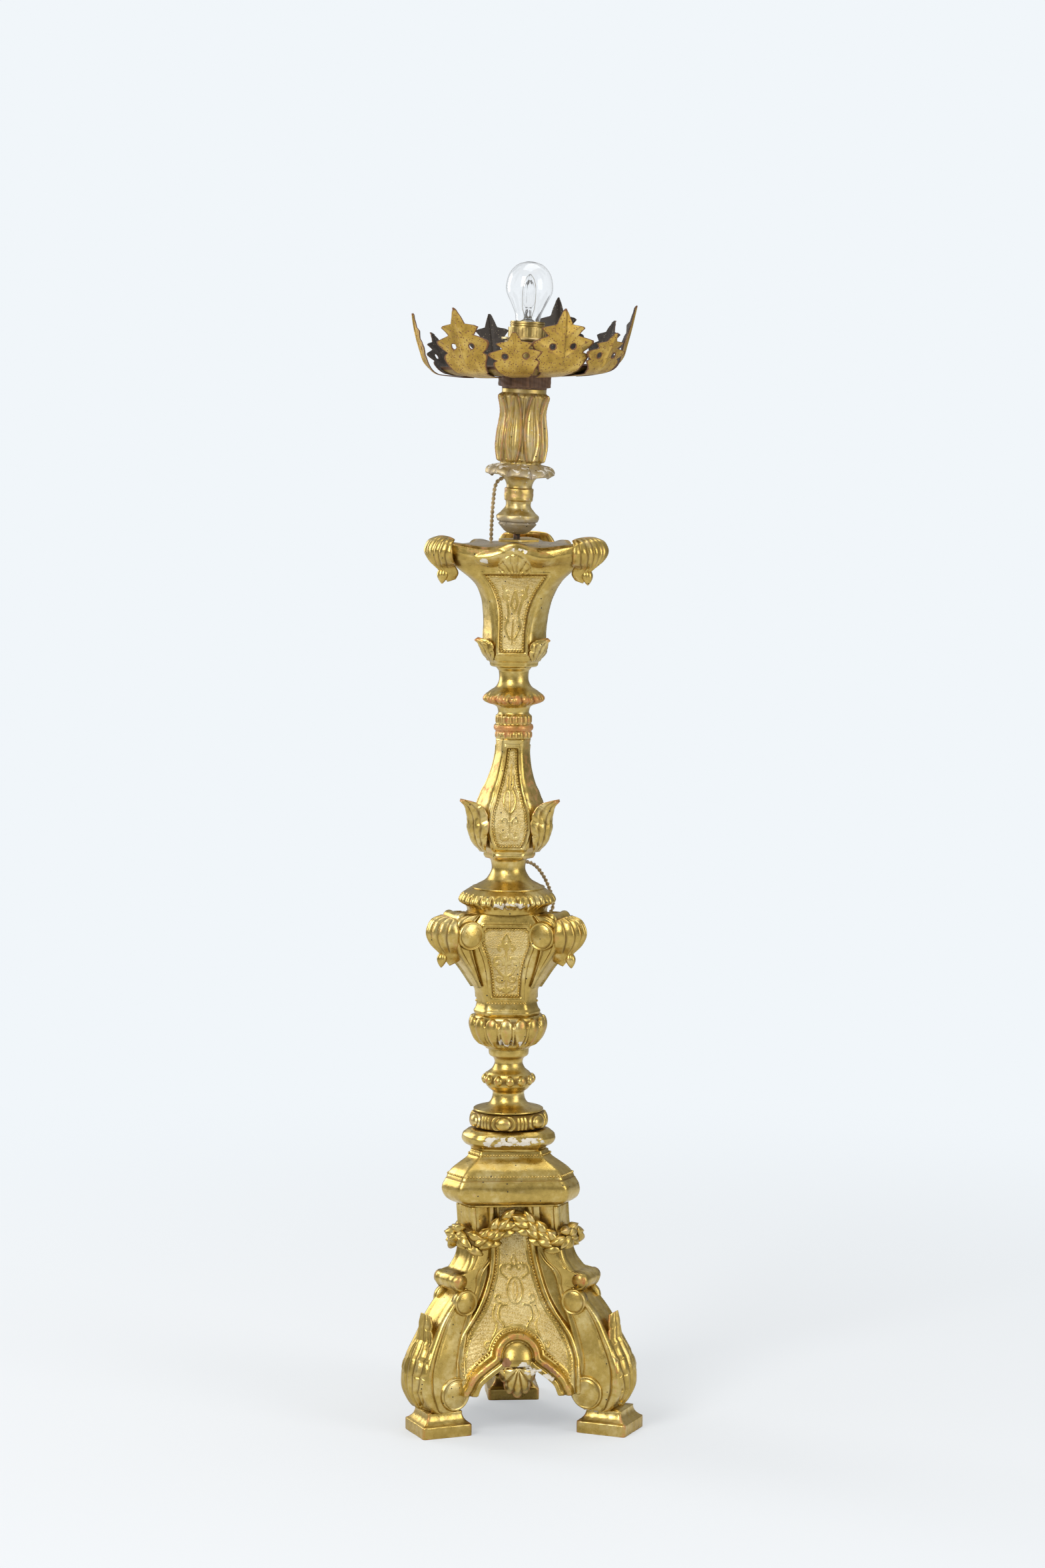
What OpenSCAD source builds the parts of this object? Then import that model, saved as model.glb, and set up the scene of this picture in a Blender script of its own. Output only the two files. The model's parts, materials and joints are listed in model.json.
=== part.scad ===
// Three-sided giltwood torchere with a leaf-edged drip pan, wired as a lamp.
// Millimetres, +Z up. The origin is on the column's axis, on the floor.

/* [Base] */
// Height from the floor to the underside of the cornice
base_h = 266; // [254:1:278]
// Turn of the base about the column, in degrees
base_turn = 5; // [-15:0.5:15]
// How far the base stands off the column's axis at the floor
base_shift = 13.6; // [0:0.2:14]
// Distance from the middle of the base to the middle of a plinth
foot_r = 117.5; // [114:0.5:121]
// Side of a square plinth
plinth_w = 62; // [56:1:68]
// Height of a plinth
plinth_h = 28; // [24:1:32]
// Width of the moulded step round the top of a plinth
plinth_step = 9; // [6:1:11]
// Width of a corner console at its foot
leg_w = 52; // [44:1:56]
// Width of a corner console at its top
post_w = 32; // [28:1:34]
// Depth of the upper post of a console
post_d = 30; // [27:1:32]
// How far a side volute stands out of its console
volute_t = 3; // [2:0.5:5]
// Thickness of a carved board of the base
panel_t = 14; // [10:1:18]
// Distance from the middle of the base to the face of a board at the neck
neck_a = 36; // [34:1:38]
// How far the arches are carved off the middle of their boards
arch_mid = -4; // [-6:1:6]
// Height of the middle of the arch over the floor
arch_h = 83; // [76:1:90]
// Half width of the arch at its feet
arch_w = 47; // [42:1:50]
// How far the arch moulding stands out of its board
frame_t = 4; // [2:0.5:6]
// Thickness of an acanthus leaf on a console
leg_leaf_t = 8; // [6:0.5:10]
// Width of a scallop pendant
pendant_w = 41; // [34:1:46]
// Height of a scallop pendant
pendant_h = 40; // [32:1:44]
// Thickness of a scallop pendant
pendant_t = 12; // [8:1:13]
// Height of the laurel garland's section
garland_h = 21; // [16:1:24]
// Height of the core block
block_h = 40; // [32:1:40]

/* [Cornice and cap] */
// Height of the cornice
cornice_h = 64; // [56:1:72]
// Distance from the axis to the long face of the cornice
cornice_a = 59; // [56:1:64]
// Distance from the axis to the cut corner of the cornice
cornice_c = 84.5; // [82:0.5:90]
// Height of the cap
cap_h = 24; // [20:1:30]
// Distance from the axis to the long face of the cap
cap_a = 45; // [43:1:50]
// Distance from the axis to the rounded corner of the cap
cap_c = 57; // [54:1:62]

/* [Column] */
// Height of the egg-and-dart ring
egg_h = 21; // [16:1:26]
// Radius of the egg-and-dart ring
egg_r = 47; // [44:1:52]
// Height of the turned neck with its ring of beads
beaded_h = 74; // [66:1:84]
// Radius of its foot disc
beaded_r = 41.5; // [38:0.5:44]
// Height of the gadrooned cup
gadroon_h = 41; // [36:1:48]
// Radius of the gadrooned cup
gadroon_r = 45; // [42:1:50]
// Height of the lower capital
lower_h = 123; // [115:1:131]
// Distance from the axis to a panel of the lower capital at its fullest
lower_a = 43; // [41:0.5:45]
// Reach of the lower capital's corner shells
lower_reach = 106.5; // [104:0.5:110]
// Width of a corner console of the lower capital
lower_scroll_w = 36; // [30:1:42]
// Radius of a side volute of the lower capital
lower_volute_r = 16; // [13:0.5:18]
// Height of the gadrooned collar
collar_h = 27; // [22:1:32]
// Radius of the gadrooned collar
collar_r = 57; // [53:1:60]
// Height of the waisted neck
waist_h = 36; // [32:1:42]
// Radius of the waisted neck's foot disc
waist_r = 43; // [38:1:45]
// Height of the pear
pear_h = 141; // [130:1:152]
// Distance from the axis to a panel of the pear at its fullest
pear_a = 35.5; // [33:0.5:38]
// Reach of the pear's corner leaves
pear_reach = 66; // [63:0.5:70]
// Height of the upper turned baluster
upper_h = 85; // [78:1:92]
// Radius of its leaf skirt
skirt_r = 35.7; // [32:0.1:39]
// Height of the upper capital
bell_h = 147; // [140:1:156]
// Turn of the upper capital about the column, in degrees
bell_turn = -5; // [-15:0.5:15]
// Distance from the axis to the lip over a panel of the upper capital
bell_a = 62; // [58:1:66]
// Distance from the axis to the corner of the upper capital's top
bell_c = 98; // [95:1:101]
// Reach of the upper capital's corner shells
bell_reach = 115.5; // [112:0.5:119]
// Height of the top block
block_top_h = 2.5; // [2:0.5:6]
// Radius of the top block over its corners
block_top_r = 27; // [22:1:32]

/* [Rod] */
// Diameter of the iron rod
rod_d = 7.8; // [6:0.1:10]
// Diameter of the bore through the column
bore_d = 19; // [16:0.5:20]
// Lean of the candle cup and all above it, in degrees
cup_lean = 2.6; // [0:0.1:4]
// How far the rod is bent off the axis where it leaves the column
rod_bend = 2.8; // [0:0.2:4]
// Length of rod that shows under the candle cup
rod_show = 6; // [3:0.5:12]

/* [Candle cup] */
// Height of the turned foot of the cup
foot_h = 53.5; // [48:0.5:60]
// Radius of the ball of the foot
ball_r = 25; // [22:0.5:27]
// Height of the tulip
tulip_h = 116; // [108:1:124]
// Radius of the tulip
tulip_r = 30; // [27:0.5:32]
// Reach of the drooping leaf skirt
cup_skirt_r = 40.4; // [37:0.2:43]
// Height of the brown band
band_h = 16; // [12:1:20]
// Radius of the brown band
band_r = 30.7; // [28:0.1:34]

/* [Drip pan] */
// Radius of the dish
dish_r = 99; // [96:1:101]
// Depth of the dish
dish_h = 10; // [9:1:12]
// How far the pan sits out of square to the cup's axis, in degrees
pan_tilt = 3.9; // [0:0.1:5]
// Thickness of the sheet iron
sheet_t = 1.2; // [0.8:0.1:1.6]
// Reach of the leaves' tips
leaf_reach = 130; // [127:1:134]
// Half width of a leaf
leaf_half_w = 31; // [26:1:33]

/* [Lamp fitting] */
// Radius of the lampholder's body
holder_r = 16.3; // [15:0.1:19]
// Height of the lampholder's body over the dish
holder_h = 30; // [26:1:36]
// Radius of the threaded collar
collar_thread_r = 19.8; // [19:0.1:20.5]
// Height of the threaded collar
collar_thread_h = 31; // [30:1:36]
// Radius of the shade flange
flange_r = 30; // [27:0.5:33]
// Thickness of the shade flange
flange_t = 3; // [2:0.5:4]
// Height of the ribbed ring nut
nut_h = 11.5; // [9:0.5:14]
// Radius of the ribbed ring nut over its ribs
nut_r = 22.3; // [21.6:0.1:24]
// Radius of the bulb's screw cap
bulb_cap_r = 13.1; // [12.8:0.1:13.3]
// Height of the bulb's screw cap
bulb_cap_h = 25; // [22:1:27]
// Radius of the bulb
bulb_r = 27.2; // [24:0.1:30]
// Height of the glass over the screw cap
bulb_h = 72; // [66:1:78]

/* [Flex] */
// Diameter over the twisted flex
flex_d = 4.8; // [4:0.1:5]
// Thickness of the plug's body
plug_t = 15.6; // [14.6:0.1:20]
// Width of the plug's body
plug_w = 24; // [20:1:28]
// Length of the plug's body
plug_l = 38; // [32:1:44]

/* [Hidden] */

gilt = "#d4a94a";
iron = "#4a4038";
brass = "#c9a85c";

// Small clearances between pieces that meet
touch_gap = 0.3;
thread_gap = 0.5;

// Heights at which one piece of the stack rests on the next
z_cap = base_h + cornice_h;
z_egg = z_cap + cap_h;
z_beaded = z_egg + egg_h;
z_gadroon = z_beaded + beaded_h;
z_lower = z_gadroon + gadroon_h;
z_collar = z_lower + lower_h;
z_waist = z_collar + collar_h;
z_pear = z_waist + waist_h;
z_upper = z_pear + pear_h;
z_bell = z_upper + upper_h;
z_block = z_bell + bell_h;
z_top = z_block + block_top_h;
bore_r = bore_d / 2;
swelling = 0.8;
sides = 36;

// The pieces are threaded on the rod with some play, and the old stack has settled: at each height,
// how far its outside stands to the +X side of the rod.
sway_rows = [[0, base_shift - 5], [0.7 * base_h, 6.7], [base_h, 1.3], [base_h + 20, -1.3], [z_cap, -2.2], [z_egg, -2],
    [z_gadroon, -3], [z_lower + 30, -6], [z_collar, -6], [z_waist, -5], [z_pear + 8, -3], [z_pear + 82, -3],
    [z_upper, 0.5], [z_bell + 40, 1], [z_bell + 98, 5.5], [z_block, 5.5]];
function sway(z) = lookup(z, sway_rows);
// The same shift as seen from a corner or face at bearing a: outward, and across
function sway_out(a, z) = sway(z) * cos(a);
function sway_across(a, z) = -sway(z) * sin(a);

// A smooth line through hand-chosen points, with n steps between each two of them.
function curve_at(a, b, c, d, t) =
    0.5 * ((2 * b) + (c - a) * t + (2 * a - 5 * b + 4 * c - d) * t * t + (3 * b - a - 3 * c + d) * t * t * t);
function smooth(points, n = 3) = let (last = len(points) - 1) concat(
    [for (i = [0:last - 1], k = [0:n - 1]) curve_at(
        points[max(i - 1, 0)], points[i], points[i + 1], points[min(i + 2, last)], k / n)],
    [points[last]]);
// The value of a table of [place, value] rows at a place between them.
function between(rows, place) = lookup(place, rows);

// Distance to a rounded six-sided outline: long faces at 30, 150 and 270 degrees, cut corners between them.
function outline_r(angle, face, corner, hardness) = pow(
    pow(max(0, cos(angle - 30)) / face, hardness) + pow(max(0, cos(angle - 150)) / face, hardness) +
    pow(max(0, cos(angle - 270)) / face, hardness) + pow(max(0, cos(angle - 90)) / corner, hardness) +
    pow(max(0, cos(angle - 210)) / corner, hardness) + pow(max(0, cos(angle - 330)) / corner, hardness),
    -1 / hardness);

// Closes a grid of rings into a tube-shaped solid that joins its last ring to its first.
function ring_faces(rows, n) = [for (j = [0:rows - 1], i = [0:n - 1])
    let (k = (j + 1) % rows, m = (i + 1) % n) each [
        [j * n + i, k * n + i, k * n + m], [j * n + i, k * n + m, j * n + m]]];

// A bored three-sided body: each row is [height, face distance, corner distance]. The top row may also rise and fall
// round the edge, by wave, six times.
module bored_loft(rows, hole_r, hardness = 14, n = sides) {
    outer = [for (row = rows) [for (i = [0:n - 1]) let (
        a = 360 * i / n,
        wave = is_undef(row[3]) ? 0 : row[3] * cos(6 * (a - 270)),
        r = outline_r(a, row[1], row[2], hardness) + wave * 0.6)
        [r * cos(a) + sway(row[0]), r * sin(a), row[0] + wave]]];
    inner = [for (z = [rows[len(rows) - 1][0], rows[0][0]]) [for (i = [0:n - 1]) let (a = 360 * i / n)
        [hole_r * cos(a), hole_r * sin(a), z]]];
    rings = concat(outer, inner);
    polyhedron([for (ring = rings) each ring], ring_faces(len(rings), n), convexity = 6);
}

// A solid swept through closed sections of equal point count, with flat ends.
module swept(sections) {
    n = len(sections[0]);
    last = (len(sections) - 1) * n;
    faces = concat(
        [for (j = [0:len(sections) - 2], i = [0:n - 1]) let (m = (i + 1) % n) each [
            [j * n + i, (j + 1) * n + i, (j + 1) * n + m], [j * n + i, (j + 1) * n + m, j * n + m]]],
        [for (i = [1:n - 2]) [0, i, i + 1]],
        [for (i = [1:n - 2]) [last, last + i + 1, last + i]]);
    polyhedron([for (s = sections) each s], faces, convexity = 6);
}

// A turned solid: points are [radius, height] up the outside, round a bore.
module turned(points, hole_r) {
    top = points[len(points) - 1][1];
    rotate_extrude($fn = 72) polygon(concat([[hole_r, points[0][1]]], points, [[hole_r, top]]));
}
// A turned piece of the stack: its outside has settled off the rod, and its bore is on the rod.
module stacked(points) {
    low = points[0][1];
    top = points[len(points) - 1][1];
    difference() {
        translate([sway((low + top) / 2), 0, 0])
            rotate_extrude($fn = 72) polygon(concat([[0, low]], points, [[0, top]]));
        translate([0, 0, low - 1]) cylinder(r = bore_r, h = top - low + 2, $fn = 48);
    }
}

// Places children at corner i of the base, with +X pointing out of the corner.
function corner_at(i) = 210 + base_turn + 120 * (i - 1);
module base_corner(i) rotate([0, 0, corner_at(i)]) children();
// Places children on face i of the base, with +X pointing out of the face.
function face_at(i) = 270 + base_turn + 120 * (i - 1);
module base_face(i) rotate([0, 0, face_at(i)]) children();
// The same for the column's own corners.
module column_corner(i, turn = 0) rotate([0, 0, 210 + turn + 120 * (i - 1)]) children();
// Stands a flat outline drawn as [out, up] on edge, w wide, facing +X.
module side_cut(w) rotate([90, 0, 0]) linear_extrude(height = w, center = true) children();
// Stands a flat outline drawn as [across, up] on edge, reaching from the axis out to r.
module front_cut(r) rotate([90, 0, 90]) linear_extrude(height = r) children();

// ---- Base ----
// The three plinths stand a little askew under their consoles, in degrees.
plinth_turns = [-12, 2, 0];
// One side of a plinth's moulding: a face, a hollow and a fillet, as [inset, height]
plinth_edge = concat([[0, 0], [0, plinth_h * 0.48]],
    smooth([[plinth_step * 0.2, plinth_h * 0.5], [plinth_step * 0.75, plinth_h * 0.66], [plinth_step, plinth_h * 0.86]], 3),
    [[plinth_step, plinth_h]]);
module plinth_cut() rotate([90, 0, 0]) linear_extrude(height = plinth_w, center = true) polygon(concat(
    [for (p = plinth_edge) [plinth_w / 2 - p[0], p[1]]],
    [for (k = [len(plinth_edge) - 1:-1:0]) [plinth_edge[k][0] - plinth_w / 2, plinth_edge[k][1]]]));
module plinth(i) color(gilt) base_corner(i)
    translate([foot_r + base_shift * cos(corner_at(i)), -base_shift * sin(corner_at(i)), 0])
        rotate([0, 0, plinth_turns[i - 1]])
        intersection() {
            plinth_cut();
            rotate([0, 0, 90]) plinth_cut();
        }

// Outlines of a console seen from the side, from the foot up: [distance from the middle of the base, height]
z_curl = plinth_h + 153;
post_r = neck_a + 31.5;
leg_foot = [[foot_r + 10, plinth_h], [foot_r + 17, plinth_h + 4], [foot_r + 23, plinth_h + 13],
    [foot_r + 28, plinth_h + 24], [foot_r + 29, plinth_h + 36], [foot_r + 27, plinth_h + 52],
    [foot_r + 20, plinth_h + 70], [foot_r + 10, plinth_h + 89], [foot_r, plinth_h + 108],
    [foot_r - 13, plinth_h + 125], [foot_r - 26, plinth_h + 137]];
leg_head = [[foot_r - 31, z_curl - 9], [foot_r - 27, z_curl - 12], [foot_r - 20, z_curl - 10], [foot_r - 15.5, z_curl - 2],
    [foot_r - 18, z_curl + 5], [foot_r - 25, z_curl + 8], [foot_r - 33, z_curl + 9], [foot_r - 39, z_curl + 15],
    [post_r + 5, base_h - 60], [post_r + 1, base_h - 42], [post_r, base_h - 22], [post_r, base_h]];
leg_inside = [[post_r - post_d, base_h], [post_r - post_d, base_h - block_h - 4], [post_r - post_d + 5, base_h - 62],
    [foot_r - 58, plinth_h + 158], [foot_r - 51, plinth_h + 138], [foot_r - 46, plinth_h + 122],
    [foot_r - 40, plinth_h + 106], [foot_r - 34, plinth_h + 88], [foot_r - 29, plinth_h + 70],
    [foot_r - 27, plinth_h + 55], [foot_r - 29, plinth_h + 42], [foot_r - 33, plinth_h + 30],
    [foot_r - 33, plinth_h + 16], [foot_r - 26, plinth_h + 5], [foot_r - 16, plinth_h]];
leg_outer = smooth(leg_foot, 3);
leg_side = concat(leg_outer, smooth(leg_head, 3), smooth(leg_inside, 3));
// Half width of a console seen from the front: [half width, height]
leg_front = [[leg_w / 2 - 2, 0], [leg_w / 2, plinth_h + 20], [leg_w / 2 - 1, plinth_h + 60], [leg_w / 2 - 5, plinth_h + 95],
    [post_w / 2 + 4, plinth_h + 125], [post_w / 2 + 3, z_curl + 4], [post_w / 2, base_h - 45], [post_w / 2, base_h]];
volute_low_r = 20.5;
volute_low = [foot_r - 12, plinth_h + volute_low_r + touch_gap];
volute_high = [foot_r - 23, plinth_h + 122];
volute_high_r = 15;

module leg_body(i) base_corner(i) {
    a = corner_at(i);
    intersection() {
        side_cut(2 * leg_w) polygon([for (p = leg_side) [p[0] + sway_out(a, p[1]), p[1]]]);
        front_cut(foot_r + plinth_w) polygon(concat(
            [for (p = leg_front) [p[0] + sway_across(a, p[1]), p[1]]],
            [for (k = [len(leg_front) - 1:-1:0]) let (p = leg_front[k]) [sway_across(a, p[1]) - p[0], p[1]]]));
    }
}
module leg(i) color(gilt) {
    a = corner_at(i);
    leg_body(i);
    base_corner(i)
        for (disc = [[volute_low, volute_low_r, leg_w / 2], [volute_high, volute_high_r, post_w / 2 + 4]], side = [-1, 1]) {
            z = disc[0][1];
            translate([disc[0][0] + sway_out(a, z), sway_across(a, z) + side * (disc[2] - 5), z]) rotate([-90 * side, 0, 0])
                cylinder(r = disc[1], h = volute_t + 5, $fn = 48);
        }
}

// An acanthus leaf lies on each console and curls out at its tip: [share of the length, share of the half width]
leg_leaf_shape = [[0, 0.42], [0.2, 0.72], [0.42, 1], [0.62, 0.94], [0.8, 0.62], [0.93, 0.36], [1, 0.12]];
// Its section: [share across, share of the thickness]
leaf_section = [[-1, 0], [-1, 0.45], [-0.6, 0.9], [-0.25, 0.72], [0, 1], [0.25, 0.72], [0.6, 0.9], [1, 0.45], [1, 0]];
leaf_first = 3;
leaf_last = len(leg_outer) - 7;
leaf_lip = 13;
module leg_leaf(i) color(gilt) base_corner(i) {
    a = corner_at(i);
    swept([for (k = [leaf_first:leaf_last]) let (
        s = (k - leaf_first) / (leaf_last - leaf_first),
        p = leg_outer[k],
        step = leg_outer[k + 1] - leg_outer[k - 1],
        out = [step[1], -step[0]] / norm(step),
        w = leg_w / 2 * 0.95 * between(leg_leaf_shape, s),
        curl = max(0, s - 0.75) * 4 * leaf_lip,
        t = leg_leaf_t * (0.5 + 0.5 * sin(180 * min(1, s * 1.15))))
        [for (q = leaf_section) let (reach = touch_gap + curl + q[1] * t, z = p[1] + out[1] * reach)
            [p[0] + sway_out(a, p[1]) + out[0] * reach, q[0] * w + sway_across(a, p[1]), z]]]);
}

// Face of a board seen from the side: [distance from the middle of the base, height]
panel_face = smooth([[neck_a, base_h], [neck_a, base_h - block_h - 2], [neck_a + 2, base_h - 62],
    [neck_a + 9, base_h - 92], [neck_a + 20, plinth_h + 113], [neck_a + 31, plinth_h + 88], [neck_a + 41, plinth_h + 63],
    [neck_a + 46, plinth_h + 43], [neck_a + 48, plinth_h + 25], [neck_a + 48, plinth_h + 14]], 3);
module panel_layer(a, from, to) side_cut(3 * foot_r) polygon(concat(
    [for (p = panel_face) [p[0] + from + sway_out(a, p[1]), p[1]]],
    [for (k = [len(panel_face) - 1:-1:0]) let (p = panel_face[k]) [p[0] + to + sway_out(a, p[1]), p[1]]]));
module across(a, points) polygon([for (p = points) [p[0] + sway_across(a, p[1]), p[1]]]);
// The arch's edge, up one side and down the other, grown by g
function arch_side(g) = concat([[arch_w + g, plinth_h + 8]],
    smooth([[arch_w + g, plinth_h + 20], [arch_w - 5 + g, plinth_h + 32], [arch_w - 17 + g, arch_h - 12 + g],
        [18 + g / 3, arch_h - 3 + g], [15, arch_h + g]], 3));
function mirrored(points) = concat(points, [for (k = [len(points) - 1:-1:0]) [-points[k][0], points[k][1]]]);
panel_edge = [[foot_r - 33, plinth_h + 19], [foot_r - 38, plinth_h + 60], [post_w / 2 + 22, base_h - 55],
    [post_w / 2 + 22, base_h]];
// The crown of the arch moulding: a raised half ring over the pendant
crown = [17, 28];
module panel_front(a) difference() {
    across(a, mirrored(panel_edge));
    translate([arch_mid, 0]) across(a, mirrored(arch_side(0)));
}
module base_panel(i) color(gilt) difference() {
    a = face_at(i);
    base_face(i) {
        intersection() {
            panel_layer(a, -panel_t, 0);
            front_cut(2 * foot_r) panel_front(a);
        }
        intersection() {
            panel_layer(a, -1, frame_t);
            front_cut(2 * foot_r) difference() {
                union() {
                    translate([arch_mid, 0]) across(a, mirrored(arch_side(13)));
                    translate([arch_mid + sway_across(a, arch_h), arch_h + 10]) circle(r = crown[1], $fn = 48);
                }
                translate([arch_mid, 0]) across(a, mirrored(arch_side(0)));
                translate([arch_mid + sway_across(a, arch_h), arch_h + 10]) circle(r = crown[0], $fn = 48);
                // nothing of the moulding hangs below the board
                translate([-foot_r, 0]) square([2 * foot_r, plinth_h + 19]);
            }
        }
    }
    leg(i);
    leg(i % 3 + 1);
}

// A scallop: a ribbed dome on a flat back, hanging from its flat top.
scallop_levels = [[0, 1], [0.55, 0.9], [0.9, 0.5], [1, 0.12]];
module panel_shell(i) color(gilt) base_face(i) {
    lobes = 5;
    n = 30;
    a = face_at(i);
    back = neck_a + 48 - pendant_t + sway_out(a, arch_h);
    middle = arch_mid + sway_across(a, arch_h);
    rim = [for (k = [0:n]) let (b = 180 + 180 * k / n, lobe = 0.86 + 0.14 * abs(sin(lobes * 180 * k / n)))
        [pendant_w / 2 * cos(b) * lobe, pendant_h * 0.94 * sin(b) * lobe]];
    swept([for (level = scallop_levels) concat(
        [for (p = rim) [back + pendant_t * level[0], middle + p[0] * level[1], arch_h + p[1] * level[1] - 3]],
        [for (side = [6, -6]) [back + pendant_t * level[0], middle + side * level[1], arch_h - 3 + 2.7 * level[1]]])]);
}

// The swag: level round each corner, lifted and drawn in to the middle of each face. One third of its line, from
// corner to corner, is [out of the face, across it, height under the cornice].
garland_third = [[35.5, -61.5, 35], [47, -55, 37], [50, -46, 42], [44.5, -30, 35], [42, 0, 15], [44.5, 30, 35],
    [50, 46, 42], [47, 55, 37], [35.5, 61.5, 35]];
garland_t = 9;
garland_sides = 8;
function garland_line() = [for (third = [0:2], k = [0:15]) let (
    q = smooth(garland_third, 2)[k],
    a = face_at(third + 1))
    [q[0] * cos(a) - q[1] * sin(a) + sway(base_h - 30), q[0] * sin(a) + q[1] * cos(a), base_h - q[2]]];
module garland() color(gilt) difference() {
    line = garland_line();
    n = len(line);
    points = [for (k = [0:n - 1]) let (
        along = line[(k + 1) % n] - line[(k + n - 1) % n],
        side = unit([along[1], -along[0], 0]))
        for (j = [0:garland_sides - 1]) let (b = 360 * j / garland_sides)
            line[k] + garland_t / 2 * cos(b) * side + [0, 0, garland_h / 2 * sin(b)]];
    polyhedron(points, ring_faces(n, garland_sides), convexity = 6);
    // it is carved up against the posts of the consoles
    leg_body(1);
    leg_body(2);
    leg_body(3);
}

// It leans with the boards and posts that are glued to it.
module base_block() color("#7a5a38") difference() {
    face = neck_a - panel_t - touch_gap;
    corner = post_r - post_d - touch_gap;
    half = (corner - face / 2) / cos(30);
    swept([for (z = [base_h, base_h - block_h]) [for (k = [1:3], side = [-1, 1]) let (a = face_at(k))
        [face * cos(a) - side * half * sin(a) + sway(z), face * sin(a) + side * half * cos(a), z]]]);
    translate([0, 0, base_h - block_h - 1]) cylinder(r = bore_r, h = block_h + 2, $fn = 48);
}

// One side of the cornice, from the bottom: [share of the height, share of the full outline]
cornice_edge = concat([[0, 0.8], [0.04, 0.8], [0.05, 0.86]],
    smooth([[0.07, 0.9], [0.14, 0.965], [0.26, 1], [0.38, 0.995], [0.46, 0.965]], 3),
    [[0.55, 0.925]],
    smooth([[0.58, 0.9], [0.68, 0.84], [0.78, 0.73], [0.87, 0.62], [0.95, 0.575]], 3),
    [[1, 0.565]]);
// All that lies behind one side, whose full distance from the middle is full
module cornice_side(a, full) rotate([0, 0, a]) side_cut(4 * cornice_c) polygon(concat(
    [[-2 * cornice_c, base_h]],
    [for (p = cornice_edge) [full * p[1], base_h + p[0] * cornice_h]],
    [[-2 * cornice_c, z_cap]]));
module base_cornice() color(gilt) difference() {
    translate([sway(base_h + cornice_h / 2), 0, 0]) intersection() {
        cornice_side(face_at(1), cornice_a);
        cornice_side(face_at(2), cornice_a);
        cornice_side(face_at(3), cornice_a);
        cornice_side(corner_at(1), cornice_c);
        cornice_side(corner_at(2), cornice_c);
        cornice_side(corner_at(3), cornice_c);
    }
    translate([0, 0, base_h - 1]) cylinder(r = bore_r, h = cornice_h + 2, $fn = 48);
}
cap_rows = [[0, 0.8], [0.1, 0.81], [0.25, 0.92], [0.42, 0.985], [0.6, 1], [0.8, 0.97], [0.94, 0.9], [1, 0.86]];
module base_cap() color(gilt)
    bored_loft([for (row = cap_rows) [z_cap + row[0] * cap_h, row[1] * cap_a, row[1] * cap_c]], bore_r, 12);

// ---- Column ----
// Turned outlines are [share of the radius, share of the height], smoothed, and stretched to their sizes.
module stretched(outline, r, h, z) stacked([for (p = smooth(outline, 3)) [p[0] * r, z + p[1] * h]]);

module egg_ring() color(gilt) stretched([[0.9, 0], [0.96, 0.12], [1, 0.36], [0.99, 0.6], [0.94, 0.86], [0.885, 1]],
    egg_r, egg_h, z_egg);

module lower_baluster() color(gilt) {
    r = beaded_r;
    h = beaded_h;
    stacked(concat(
        [[r, z_beaded], [r, z_beaded + 1.5]],
        [for (p = smooth([[0.84, 0.05], [0.62, 0.085], [0.5, 0.15], [0.45, 0.25], [0.465, 0.3], [0.54, 0.335]], 2))
            [p[0] * r, z_beaded + p[1] * h]],
        [for (p = smooth([[0.6, 0.37], [0.69, 0.43], [0.73, 0.5], [0.69, 0.56], [0.62, 0.6]], 3))
            [p[0] * r, z_beaded + p[1] * h]],
        [for (p = smooth([[0.56, 0.61], [0.47, 0.67], [0.4, 0.76], [0.44, 0.84], [0.54, 0.88], [0.57, 0.92], [0.575, 1]], 2))
            [p[0] * r, z_beaded + p[1] * h]]));
}

module gadroon_cup() color(gilt) stretched(
    [[0.58, 0], [0.68, 0.09], [0.8, 0.21], [0.9, 0.34], [0.985, 0.57], [1, 0.74], [0.95, 0.91], [0.85, 1]],
    gadroon_r, gadroon_h, z_gadroon);

// Lower capital rows: [share of the height, face, corner], the last two as shares of the fullest face
lower_rows = [[0, 0.74, 0.86], [0.035, 0.78, 0.9], [0.07, 0.72, 0.85], [0.13, 0.7, 0.81], [0.21, 0.7, 0.85],
    [0.285, 0.73, 0.94], [0.36, 0.78, 1.03], [0.44, 0.84, 1.12], [0.52, 0.9, 1.2], [0.6, 0.95, 1.27], [0.68, 0.98, 1.32],
    [0.76, 1, 1.35], [0.89, 1, 1.35], [0.93, 0.98, 1.25], [1, 0.93, 1.1]];
module lower_capital() color(gilt)
    bored_loft([for (row = lower_rows) [z_lower + row[0] * lower_h, row[1] * lower_a, row[2] * lower_a]], bore_r);

// The consoles on the lower capital's corners: an S-scroll with a volute on each side and a roll on top.
// Its back follows the body's corner, and its front is [distance from the axis, height over the capital's foot].
lower_corner_r = 1.35 * lower_a;
z_lower_lip = z_lower + 0.86 * lower_h;
scroll_back = [for (row = lower_rows) if (row[0] >= 0.28) [row[2] * lower_a + touch_gap, z_lower + row[0] * lower_h]];
scroll_front = smooth([[lower_corner_r - 4, z_lower + lower_h - 1], [lower_corner_r + 8, z_lower_lip + 16],
    [lower_corner_r + 18, z_lower_lip + 10], [lower_corner_r + 21, z_lower_lip - 4], [lower_corner_r + 17, z_lower_lip - 22],
    [lower_corner_r + 7, z_lower_lip - 37], [lower_corner_r - 3, z_lower_lip - 50], [lower_corner_r - 11, z_lower_lip - 62],
    [lower_corner_r - 17, z_lower_lip - 71]], 3);
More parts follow.
